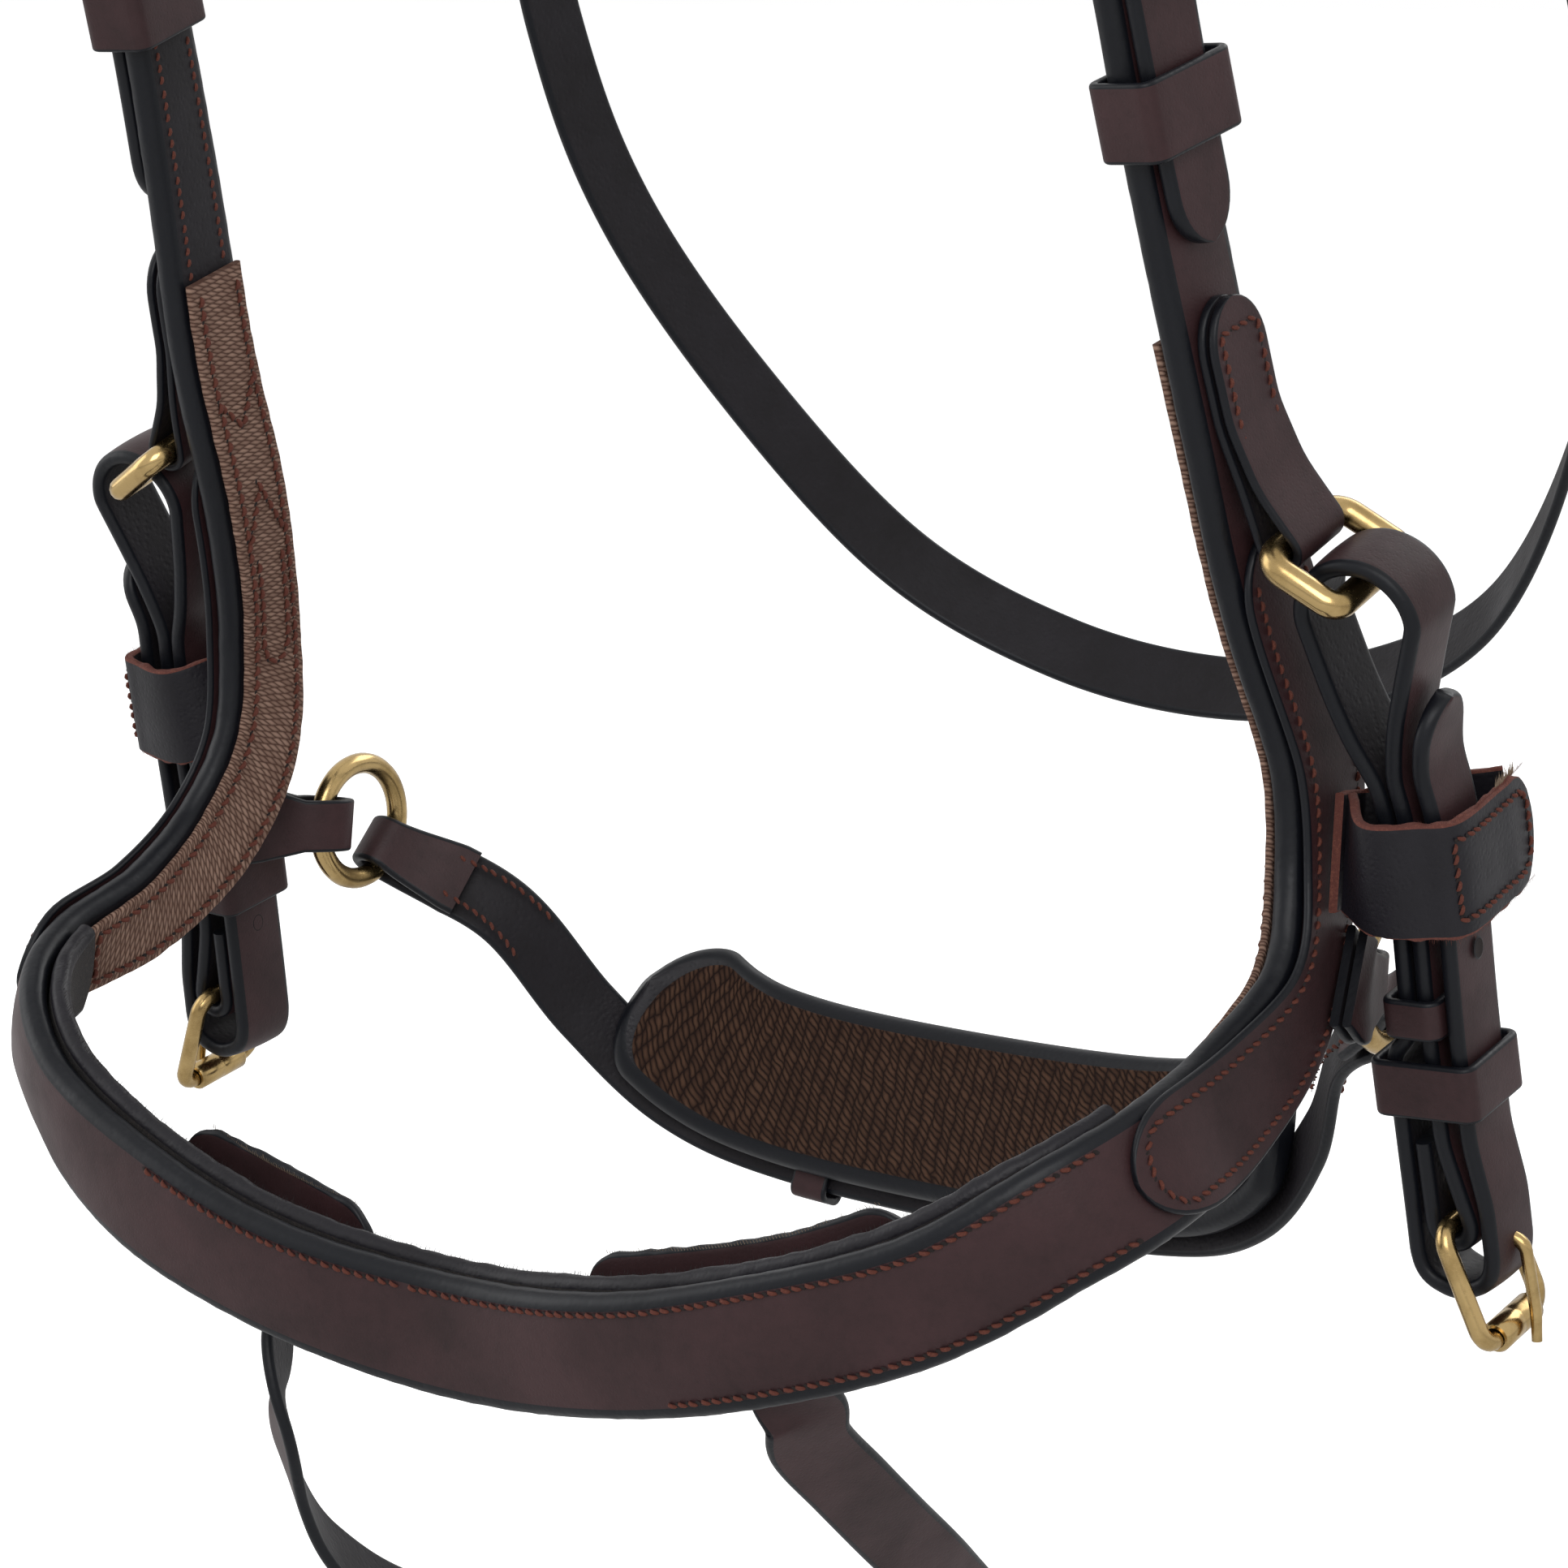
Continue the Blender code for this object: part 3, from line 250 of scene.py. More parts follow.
# a dark material of painted shade for stitch and punched holes, put where there is only a hole
paintedHoleShade = newFinish("paintedHoleShade", nap, (0.3, 0.0001), rough=0.95, Tone=(20, 11, 10), Tips=(34, 18, 16),
                    Fineness=2600.0)
looseFibre = newFinish("looseFibre", nap, (0.2, 0.0001), rough=0.9, Tone=(128, 110, 92), Tips=(170, 152, 130),
                       Fineness=3000.0)
handledBrass = newFinish("handledBrass", polish, (0.10, 0.00005), metal=1.0, Bright=(180, 154, 106),
                         Dull=(122, 98, 56), Tarnish=0.7)
print("finishes ready")


# Routes that straps follow
def flowing(points, steps, closed=False):
    if closed:
        ends = [points[-2], *points, points[1]]
    else:
        ends = [2 * points[0] - points[1], *points, 2 * points[-1] - points[-2]]
    curve = []
    for a, b, c, d in zip(ends, ends[1:], ends[2:], ends[3:]):
        square, cube = 2 * a - 5 * b + 4 * c - d, 3 * b - a - 3 * c + d
        curve += [b + ((c - a) * t + square * t**2 + cube * t**3) / 2 for t in (k / steps for k in range(steps))]
    curve.append(points[-1].copy())
    return curve


class Route:  # point, tangent, outward and forward at a length s, with the lengths counted as in the frame
    def __init__(self, controls, facing, side=1, steps=4, closed=False, fine=5):
        points, ways = flowing(controls, steps * fine, closed), flowing(facing, steps * fine, closed)
        self.lengths, self.knots, self.side = [0.0], [(0.0, points[0].z)], side
        for k in range(fine, len(points), fine):
            start, chord = self.lengths[-1], (points[k] - points[k - fine]).length
            self.lengths += [start + chord * j / fine for j in range(1, fine + 1)]
            self.knots.append((self.lengths[-1], points[k].z))
        self.length = self.lengths[-1]
        before = [points[-2] if closed else points[0], *points[:-1]]
        after = [*points[1:], points[1] if closed else points[-1]]
        self.frames = []
        for point, a, b, way in zip(points, before, after, ways):
            tangent = (b - a).normalized()
            out = (way - tangent * way.dot(tangent)).normalized()
            self.frames.append([point, tangent, out, tangent.cross(out) * side])

    def frame(self, s):
        k = min(max(bisect_right(self.lengths, s) - 1, 0), len(self.lengths) - 2)
        t = (s - self.lengths[k]) / (self.lengths[k + 1] - self.lengths[k])
        return [a + (b - a) * t for a, b in zip(self.frames[k], self.frames[k + 1])]

    def at(self, s, out=0.0, forward=0.0):
        point, _, outward, ahead = self.frame(s)
        return point + outward * out + ahead * forward

    def near(self, height):
        for (s0, z0), (s1, z1) in zip(self.knots, self.knots[1:]):
            if z0 - middle.z >= height > z1 - middle.z:
                return s0 + (s1 - s0) * (z0 - middle.z - height) / (z0 - z1)
        return self.length

    def passed(self, s0, s1, clear=0.0002):  # the route's own stations between two lengths
        low, high = min(s0, s1) + clear, max(s0, s1) - clear
        inside = [s for s in self.lengths if low < s < high]
        return inside if s1 > s0 else inside[::-1]


def between(a, b, t):
    return tuple(p + (q - p) * t for p, q in zip(a, b))


def softened(path, reach=0.0022, least=0.00005):  # rounds the corners of a (length, out) path
    made = [path[0]]
    for a, b, c in zip(path, path[1:], path[2:]):
        la, lc = dist(a, b), dist(b, c)
        turn = abs(atan2((b[0] - a[0]) * (c[1] - b[1]) - (b[1] - a[1]) * (c[0] - b[0]),
                              (b[0] - a[0]) * (c[0] - b[0]) + (b[1] - a[1]) * (c[1] - b[1])))
        k = min(reach, la * 0.48, lc * 0.48)
        if turn < 0.02 or k < least:
            made.append(b)
            continue
        p, q = between(b, a, k / la), between(b, c, k / lc)
        parts = 3 if turn < 0.6 else 5
        made += [between(between(p, b, t), between(b, q, t), t) for t in (j / parts for j in range(parts + 1))]
    made.append(path[-1])
    return made


def arc(centre, radius, start, end, steps=10):  # one radius, or a pair along and across
    wide, high = radius if isinstance(radius, tuple) else (radius, radius)
    angles = [radians(start + (end - start) * k / steps) for k in range(steps + 1)]
    return [(centre[0] + wide * cos(a), centre[1] + high * sin(a)) for a in angles]


def folded(centre, halves, steps=10):  # down one side of a path, round its end and back up the other
    legs = ([], [])
    for k, (s, o) in enumerate(centre):
        s0, o0 = centre[max(k - 1, 0)]
        s1, o1 = centre[min(k + 1, len(centre) - 1)]
        way = hypot(s1 - s0, o1 - o0)
        for leg, sign in zip(legs, (-1, 1)):
            leg.append((s + (o0 - o1) / way * sign * halves[k], o + (s1 - s0) / way * sign * halves[k]))
    (s0, o0), (s1, o1) = centre[-2:]
    heading = degrees(atan2(o1 - o0, s1 - s0))
    bend = arc(centre[-1], halves[-1], heading - 90, heading + 90, steps)
    return [*legs[0][:-1], *bend, *reversed(legs[1][:-1])]


# Mesh makers
def ringFaces(first, rings, sides):  # quads between rings of vertices that lie one after another
    starts = range(first, first + rings * sides, sides)
    pairs = [(at + k, at + (k + 1) % sides) for at in starts for k in range(sides)]
    return [(a, b, b + sides, a + sides) for a, b in pairs]


def builtMesh(name, verts, faces, slots, finishes, uvs=None, sharp=50):
    mesh = bpy.data.meshes.new(name)
    mesh.from_pydata(verts, [], faces)
    for stuff in finishes:
        mesh.materials.append(stuff)
    mesh.polygons.foreach_set("material_index", slots)
    layer = mesh.uv_layers.new(name="UVMap")
    uvs = uvs or [[(0, 0)] * len(face) for face in faces]
    layer.data.foreach_set("uv", [value for face in uvs for corner in face for value in corner])
    shape = bmesh.new()
    shape.from_mesh(mesh)
    bmesh.ops.recalc_face_normals(shape, faces=shape.faces)
    shape.to_mesh(mesh)
    shape.free()
    mesh.shade_smooth()
    mesh.set_sharp_from_angle(angle=radians(sharp))
    made = bpy.data.objects.new(name, mesh)
    bpy.context.scene.collection.objects.link(made)
    return made


facetInset, longSide = 0.0006, 0.003


def section(half, thickness, edge, bulge, flip):  # (across, up, part): 0 outer face, 1 edge, 2 inner face
    r = min(thickness * edge, half * 0.8)
    flat, high = half - r, thickness / 2
    inset = min(facetInset, flat * 0.3)
    spans = [-1, -0.6, -0.2, 0.2, 0.6, 1] if max(bulge) > 0 else [-1, 0, 1]
    across = [-flat] + [(flat - inset) * k for k in spans] + [flat]
    crown = lambda v, height: height * (1 - (v / max(flat, 1e-6)) ** 2)
    ring = [(v, high + crown(v, bulge[0]), 0) for v in across]
    corner = [radians(a) for a in (67, 45, 22, 0)]
    ring += [(flat + r * cos(a), high - r + r * sin(a), 1) for a in corner]
    ring += [(flat + r * cos(a), r - high - r * sin(a), 1) for a in reversed(corner)]
    ring += [(v, -high - crown(v, bulge[1]), 2) for v in reversed(across)]
    ring += [(-flat - r * cos(a), r - high - r * sin(a), 1) for a in corner]
    ring += [(-flat - r * cos(a), high - r + r * sin(a), 1) for a in reversed(corner)]
    if flip:
        ring = [(v, -n, part) for v, n, part in ring]
    return ring


def sweptStrap(name, stations, thickness, finishes, closed=False, edge=0.42, bulge=(0.0, 0.0), flip=False,
               side=1, wave=0.0):
    verts, faces, slots, uvs, rings = [], [], [], [], []
    count, walk = len(stations), 0.0
    for k, (centre, half) in enumerate(stations):
        before = stations[k - 1][0] if (k or closed) else centre
        after = stations[(k + 1) % count][0] if (closed or k < count - 1) else centre
        tangent = (after - before).normalized()
        up = half.cross(tangent).normalized() * side
        across = half.normalized()
        if k:
            walk += (centre - stations[k - 1][0]).length
        ring = section(half.length, thickness, edge, bulge, flip)
        first = len(verts)
        for v, n, part in ring:
            spot = centre + across * v + up * n
            if wave and part == 1:
                spot += across * noise(spot * 420) * wave * (1 if v > 0 else -1)
            verts.append(spot)
        rings.append((first, [(walk, v) for v, _, _ in ring], [part for _, _, part in ring]))
    size = len(rings[0][2])
    pairs = list(zip(rings, rings[1:])) + ([(rings[-1], rings[0])] if closed else [])
    for (a, uvA, parts), (b, uvB, _) in pairs:
        for i in range(size):
            j = (i + 1) % size
            faces.append((a + i, a + j, b + j, b + i))
            same = parts[i] == parts[j]
            slots.append(parts[i] if same else 1)
            uA, uB = uvA[i][0], uvB[i][0] if uvB[i][0] > uvA[i][0] else walk + 0.001
            uvs.append(((uA, uvA[i][1]), (uA, uvA[j][1]), (uB, uvB[j][1]), (uB, uvB[i][1])))
    if not closed:
        for first, uvEnd, _ in (rings[0], rings[-1]):
            faces.append(tuple(range(first, first + size)))
            slots.append(1)
            uvs.append(tuple(uvEnd))
    return builtMesh(name, verts, faces, slots, finishes, uvs)


roundEnd = 0.62  # a rounded end's length as a share of the strap's width


def tipShares(width, steps=9):  # (distance from the tip, share of the width) of a rounded end
    turns = [radians(84 - 84 * k / steps) for k in range(steps + 1)]
    return [(width * roundEnd * (1 - sin(a)), cos(a)) for a in turns]


def strapStations(route, path, width, widths=None, tips=(False, False), ahead=0.0, spacing=0.0018):
    rough = softened(path)
    points = [rough[0]]
    for (s0, o0), (s1, o1) in zip(rough, rough[1:]):
        points += [(s, o0 + (o1 - o0) * (s - s0) / (s1 - s0)) for s in route.passed(s0, s1)]
        points.append((s1, o1))
    walked = [0.0]
    for a, b in zip(points, points[1:]):
        walked.append(walked[-1] + dist(a, b))
    total = walked[-1]

    def along(d):
        k = min(max(bisect_right(walked, d) - 1, 0), len(walked) - 2)
        return between(points[k], points[k + 1], (d - walked[k]) / max(walked[k + 1] - walked[k], 1e-9))

    wanted, last = {}, -1.0
    for d in walked:
        if d - last > spacing * 0.28 or d == total:
            wanted[d] = 1.0
            last = d
    for end, tipped in enumerate(tips):
        if tipped:
            reach = width * roundEnd
            wanted = {d: w for d, w in wanted.items() if (d > reach if end == 0 else total - d > reach)}
            wanted.update({(d if end == 0 else total - d): share for d, share in tipShares(width)})
    stations = []
    for d in sorted(wanted):
        s, o = along(d)
        half = (widths(s) if widths else width) / 2 * wanted[d]
        stations.append((route.at(s, o, ahead), route.frame(s)[3].normalized() * half))
    return stations


hideSet = (bridleLeather, paintedEdge, fleshSide)
bothSides = (bridleLeather, paintedEdge, bridleLeather)


def placed(piece, body, *nodes):
    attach(piece, body)
    if nodes:
        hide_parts(*nodes)
    return piece


def strap(name, body, route, path, width, thickness, finishes=hideSet, nodes=None, **ways):
    shape = {k: ways.pop(k) for k in ("widths", "tips", "ahead", "spacing") if k in ways}
    stations = strapStations(route, path, width, **shape)
    piece = sweptStrap(name, stations, thickness, finishes, side=route.side, **ways)
    return placed(piece, body, *(nodes or [name]))


def roundedLoop(centre, along, across, halfAlong, halfAcross, radii, steps=8):
    far, near = radii
    points = []
    for signA, signC, start, r in ((1, 1, 0, far), (-1, 1, 90, near), (-1, -1, 180, near), (1, -1, 270, far)):
        corner = arc((signA * (halfAlong - r), signC * (halfAcross - r)), r, start, start + 90, steps)
        points += [centre + along * a + across * c for a, c in corner]
    return points


def keeper(name, body, route, s, height, opening, finishes=hideSet):  # a closed loop round a line
    halfWidth, low, high = opening
    edge, corner = thinLeather / 2, thinLeather * 1.05
    _, tangent, outward, ahead = route.frame(s)
    points = roundedLoop(route.at(s, (low + high) / 2), ahead, outward, halfWidth + edge, (high - low) / 2 + edge,
                         (corner, corner), 6)
    half, loop = tangent.normalized() * height / 2, []
    for spot, following in zip(points, [*points[1:], points[0]]):
        loop.append((spot, half))
        if (following - spot).length > longSide:
            loop += [(spot.lerp(following, t), half) for t in (0.12, 0.5, 0.88)]
    return placed(sweptStrap(name, loop, thinLeather, finishes, closed=True, side=route.side), body, name)


def roundWire(name, body, points, radius, closed=False, swell=None):
    curve = bpy.data.curves.new(name, "CURVE")
    curve.dimensions = "3D"
    curve.bevel_depth = radius
    curve.bevel_resolution = 5
    curve.use_fill_caps = not closed
    spline = curve.splines.new("POLY")
    spline.points.add(len(points) - 1)
    for k, (knot, point) in enumerate(zip(spline.points, points)):
        knot.co = (*point, 1)
        knot.radius = swell(k / (len(points) - 1)) if swell else 1.0
    spline.use_cyclic_u = closed
    spline.use_smooth = True
    curve.materials.append(handledBrass)
    piece = bpy.data.objects.new(name, curve)
    bpy.context.scene.collection.objects.link(piece)
    return placed(piece, body, name)


def turnedTube(name, body, centre, axis, halfLength, inner, wall):
    outer, lip = inner + wall, wall * 0.35
    profile = [(inner, halfLength), (inner + lip, halfLength), (outer - lip, halfLength),
               (outer, halfLength - lip * 1.5), (outer, lip * 1.2), (outer - lip * 0.3, 0), (outer, -lip * 1.2),
               (outer, lip * 1.5 - halfLength), (outer - lip, -halfLength), (inner, -halfLength)]
    turn = axis.to_track_quat("Z", "Y").to_matrix()
    sides, verts, faces = 28, [], []
    for k in range(sides):
        a = tau * k / sides
        verts += [centre + turn @ Vector((r * cos(a), r * sin(a), z)) for r, z in profile]
    size = len(profile)
    for k in range(sides):
        for i in range(size):
            j, n = (i + 1) % size, (k + 1) % sides
            faces.append((k * size + i, k * size + j, n * size + j, n * size + i))
    return placed(builtMesh(name, verts, faces, [0] * len(faces), [handledBrass], sharp=40), body, name)


# Sewing: each stitch is a short thread, sunk at both ends, with a small dark fan beside it as painted shade of
# the awl's hole
sixTurns = [tau * k / 6 for k in range(6)]
pitRise, pitEdge, proud = 0.00007, 0.00004, 0.0001


def stitchShape(spot, along, up, sewing, lean):
    across = along.cross(up).normalized()
    along = (along + across * lean).normalized()
    across = along.cross(up).normalized()
    half, radius = sewing["length"] / 2, sewing["thread"] / 2
    verts = []
    for x, y, r in ((-1, -0.9, 0.45), (-0.7, 0.1, 0.9), (0, 0.55, 1.05), (0.7, 0.1, 0.9), (1, -0.9, 0.45)):
        for a in sixTurns:
            spread = across * (cos(a) * radius * r)
            verts.append(spot + along * x * half + up * (y * radius + sin(a) * radius * r) + spread)
    return verts, ringFaces(0, 4, 6)


# a dark fan of painted shade where the awl's hole is, not an opening
def holeShadeShape(spot, along, up, sewing):
    across = along.cross(up).normalized()
    r, lean = sewing["thread"] * 0.85, (along * 0.8 + across * 0.35).normalized()
    rim = [spot + lean * (cos(a) * r) + across * (sin(a) * r * 0.7) - up * pitEdge for a in sixTurns]
    return [spot + up * pitRise, *rim], [(0, 1 + k, 1 + (k + 1) % 6) for k in range(6)]


sewing = {"pitch": 0.0021, "length": 0.0016, "thread": 0.00066, "lean": 0.42, "rise": 0.00008}


def dense(shape, step=0.0004):
    made = []
    for a, b in zip(shape, shape[1:]):
        parts = max(int(dist(a, b) / step), 1)
        made += [between(a, b, k / parts) for k in range(parts)]
    return made


def seamLine(route, out, shape):  # a (length, forward) shape laid on a face of a strap
    sign = 1 if out >= 0 else -1
    return [(route.at(s, out, f), route.frame(s)[2] * sign) for s, f in [*dense(shape), shape[-1]]]


def seamPair(route, out, start, end, inset, endInset=None):  # one row on each side of a strap's middle
    return [seamLine(route, out, [(start, sign * inset), (end, sign * (endInset or inset))]) for sign in (1, -1)]


def stitched(name, body, lines, slot="brown_leather", **changes):
    ways = {**sewing, **changes}
    verts, faces, slots = [], [], []
    for line in lines:
        walk, following = 0.0, ways["pitch"] / 2
        for (a, upA), (b, _) in zip(line, line[1:]):
            step = (b - a).length
            walk += step
            if walk >= following and step > 0:
                along = (b - a).normalized()
                up = (upA - along * upA.dot(along)).normalized()
                jitter = noise(b * 900)
                stitch = stitchShape(b + up * ways["rise"], along, up, ways, ways["lean"] * (1 + jitter * 0.5))
                holeShade = holeShadeShape(b + along * ways["pitch"] / 2, along, up, ways)
                for index, (corners, sheets) in enumerate((stitch, holeShade)):
                    faces += [tuple(len(verts) + i for i in face) for face in sheets]
                    slots += [index] * len(sheets)
                    verts += corners
                following += ways["pitch"] * (1 + jitter * 0.06)
    piece = builtMesh(name, verts, faces, slots, [seamThread, paintedHoleShade], sharp=80)
    placed(piece, body)


strayNoise = ((3100, (0, 0, 0)), (2700, (5, 0, 0)), (2900, (0, 7, 0)))


def fibres(name, body, roots, stuff, length, thickness, stray, slot="brown_leather"):  # roots: (place, way)
    verts, faces, longest = [], [], length
    for root, way in roots:
        side = Vector([noise(root * scale + Vector(shift)) for scale, shift in strayNoise])
        length = longest * (0.5 + abs(noise(root * 5000)) * 1.6)
        bend = (way + side * stray).normalized()
        tip = root + way * length * 0.45 + bend * length * 0.6
        mid = root + way * length * 0.5
        cross = way.orthogonal().normalized() * thickness
        first = len(verts)
        verts += [root - cross, root + cross, mid - cross * 0.8, mid + cross * 0.8, tip]
        faces += [(first, first + 1, first + 3, first + 2), (first + 2, first + 3, first + 4)]
    piece = builtMesh(name, verts, faces, [0] * len(faces), [stuff], sharp=180)
    placed(piece, body)


# The line round the face, and the noseband on it
def fromShares(shares, size, side=1):
    return [middle + Vector((x * size[0] * side, y * size[1], z * size[2])) for x, y, z in shares]


def mirrored(points):
    return [Vector((-point.x, point.y, point.z)) for point in points]


def thereAndBack(half):
    return [*half, *reversed(mirrored(half[:-1]))]


def faceWay(point, lean):
    x, y, z = point - middle
    if z > splitHeight:
        return Vector((x, 0, z - splitHeight)).normalized()
    turned = min(max((-z / noseDrop - 0.318) / 0.409, 0), 1)
    radial = Vector((x / noseHalf, y / noseDepth * 0.63 + 0.07, 0))
    level = Vector((copysign(1, x) if abs(x) > gap else 0, 0, 0)).lerp(radial.normalized(), turned)
    return level - Vector((0, 0, lean))


crownShares = ((0, -1, 1), (0.5, -1, 0.976), (0.88, -1.2, 0.885), (1.0, -2.2, 0.74), (1.05, -4.4, 0.60),
               (1.10, -6.6, 0.47))
armShares = ((0.864, -0.511, 1.045), (0.868, -0.327, 0.728), (0.887, -0.18, 0.456), (0.913, -0.038, 0.188))
noseShares = ((0.928, 0.115, -0.043), (0.967, 0.24, -0.244), (0.974, 0.23, -0.417), (0.993, 0.078, -0.548),
              (0.995, -0.217, -0.632), (1.001, -0.543, -0.677), (0.934, -0.783, -0.733), (0.773, -0.938, -0.832),
              (0.543, -1.033, -0.91), (0.288, -1.038, -0.97), (0, -0.992, -1.0))
leanShares = (0, 0, 0, 0, 0, 0, 0.6, 0.51, 0.38, 0.2, 0.11, 0.12, 0.16, 0.03, -0.19, -0.41, -0.31, -0.15, -0.15,
              0.01, 0)
noseSize = (noseHalf, noseDepth, noseDrop)
leftHalf = [*fromShares(crownShares, (pollHalf, crownBack, crownRise)),
            *fromShares(armShares, (noseHalf, noseDepth, cheekRise)), *fromShares(noseShares, noseSize)]
faceRoutes = {}
for side, controls in ((1, thereAndBack(leftHalf)), (-1, thereAndBack(mirrored(leftHalf)))):
    leans = (*leanShares, *reversed(leanShares[:-1]))
    faceRoutes[side] = Route(controls, [faceWay(p, lean) for p, lean in zip(controls, leans)], side, closed=True)
faceRoute = faceRoutes[1]
halfLength = faceRoute.length / 2
heelAt = faceRoute.near(cheekRise)
armFrom = heelAt + buckleWire * 4
words = ((1, "left"), (-1, "right"))


def noseWidth(s):
    along = (min(s, faceRoute.length - s) - armFrom) / (halfLength - armFrom)
    upper, front = min(max(along / 0.3, 0), 1), min(max((along - 0.42) / 0.3, 0), 1)
    return armTopWidth + (armWidth - armTopWidth) * upper + (bandWidth - armWidth) * front


noseband = {"edge": 0.46, "bulge": (0.0005, 0.0003), "seamInset": 0.0026, "wave": 0.00012,
            "seams": {1: ((-0.007, 0.119, 1), (0.044, 0.119, -1)), -1: ((0.008, 0.062, 1),)}}
strap("nosepiece", "root", faceRoute, [(armFrom, 0), (faceRoute.length - armFrom, 0)], armWidth, armThickness,
      widths=noseWidth, edge=noseband["edge"], bulge=noseband["bulge"], wave=noseband["wave"])
outerFace = armThickness / 2 + noseband["bulge"][0] * 0.6
bandSeams = []
for mirror, seams in noseband["seams"].items():
    for start, end, sign in seams:
        row = [halfLength - mirror * (start + (end - start) * k / 40) for k in range(41)]
        row = [(s, sign * (noseWidth(s) / 2 - noseband["seamInset"])) for s in row]
        bandSeams.append(seamLine(faceRoute, outerFace, row))
stitched("bandStitching", "root", bandSeams)

# soft lining behind the band, raised so that its rounded edge shows along the band's upper edge
lining = {"rise": 0.0012, "width": 0.0192, "thickness": 0.0033, "wave": 0.0003, "hairs": 900,
          "nap": {"length": 0.0009, "thickness": 0.00004, "stray": 0.7}}
liningOut = -(armThickness + liningThickness) / 2 - lay
liningFrom = halfLength - noseHalf * 1.18
liningSpan = faceRoute.length - 2 * liningFrom
liningPath = [(liningFrom, liningOut), (faceRoute.length - liningFrom, liningOut)]
liningPiece = strap("nose_lining", "root", faceRoute, liningPath, lining["width"], lining["thickness"],
                    finishes=(loopLining, darkLeather, loopLining), ahead=lining["rise"], edge=0.48,
                    bulge=(0.0, 0.0006), wave=lining["wave"])
napRoots = []
for k in range(lining["hairs"]):
    s, edge = liningFrom + liningSpan * (k + 0.5) / lining["hairs"], 1 if k % 3 else -1
    _, _, outward, ahead = faceRoute.frame(s)
    lift = (lining["width"] / 2 + lining["rise"] - proud * 3) * (1 if k % 3 else -0.84)
    depth = lining["thickness"] * (0.1 + 0.38 * abs(noise(Vector((k * 0.7, 0, 0)))))
    napRoots.append((faceRoute.at(s, liningOut - depth, lift), (ahead * edge - outward * 0.7).normalized()))
fibres("liningNap", "root", napRoots, loopLining, **lining["nap"], slot="loop_lining")
print("noseband ready")

# Arms: woven tape inside with its sewing, laps outside
webbingOut = -(armThickness + webbingThickness) / 2 - lay
lapOut = (armThickness + thinLeather) / 2 + lay
armTop = faceRoute.near(cheekRise * 0.31)
tapeEnd, lapTip = halfLength - noseHalf * 1.215, halfLength - noseHalf * 1.12
lap = {"seam": 0.0062, "tipInset": 0.0042, "start": 0.006}
armSeam = {"top": (0.003, 0.0042), "end": (0.001, 0.0046)}
tapeSeam = {"inset": 0.0050, "margin": 0.002, "peaks": ((0.012, ((-0.004, -1), (0.004, 0.1), (-0.002, 1))),
                                                        (-0.006, ((0.006, -0.9), (-0.004, 0), (0.005, 0.9)))),
            "foot": -0.030, "bowl": (0.0045, 0.0032), "bowlArms": 0.016}
tapeThread = {"thread": 0.00085, "length": 0.0019, "pitch": 0.0024, "rise": 0.00022}
for side, word in words:
    route = faceRoutes[side]
    strap(word + "_arm_webbing", "root", route, [(armTop, webbingOut), (tapeEnd, webbingOut)], webbingWidth,
          webbingThickness, finishes=(armTape, armTape, armTape), edge=0.45, wave=0.0002)
    f, top, end = tapeSeam["inset"], armTop + tapeSeam["margin"], tapeEnd - tapeSeam["margin"]
    shapes = [[(top, f), (end, f)], [(top, -f), (end, -f), (end + 0.0008, 0), (end, f)]]
    for height, peak in tapeSeam["peaks"]:
        shapes.append([(route.near(height) + s, f * share) for s, share in peak])
    foot, far = route.near(tapeSeam["foot"]), tapeSeam["bowl"][1]
    upright = foot - tapeSeam["bowlArms"]
    shapes.append([(upright, -far), *arc((foot, 0), tapeSeam["bowl"], -90, 90, 12), (upright, far)])
    rows = [seamLine(route, webbingOut - webbingThickness / 2, shape) for shape in shapes]
    stitched(word + "TapeStitching", "root", rows, slot="brown_webbing", **tapeThread)
    (top, inset), (end, endInset) = armSeam["top"], armSeam["end"]
    rows = seamPair(route, -armThickness / 2, armFrom + top, armTop - end, inset, endInset)
    stitched(word + "ArmStitching", "root", rows)
    begin = route.near(ringRise)
    strap(word + "_arm_lap", "root", route, [(begin, lapOut), (lapTip, lapOut)], armWidth, thinLeather,
          tips=(True, True), finishes=bothSides, edge=0.48)
    f, tip, begin = lap["seam"], lapTip - lap["tipInset"], begin + lap["start"]
    row = [(begin, f), *arc((tip - f * 0.55, 0), (f * 0.8, f), 90, -90, 15), (begin, -f)]
    stitched(word + "LapStitching", "root", [seamLine(route, lapOut + thinLeather / 2, row)])
print("arms ready")

# Headpiece, its pad and the browband
billetHeel = buckleWire + gap + thinLeather + lay + leather / 2
billetArm = armThickness / 2 + lay + leather / 2
chapeHalf = (armThickness + thinLeather) / 2 + lay
billetChape = chapeHalf + thinLeather / 2 + lay + leather / 2
chapeEnd = heelAt + chapeLength
headTip = faceRoute.near(cheekRise * 0.42)


def crownTaper(s):
    share = min(max((s - crownReach) / (crownWidth - strapWidth), 0), 1)
    share = share * share * (3 - 2 * share)
    return crownWidth + (strapWidth - crownWidth) * share


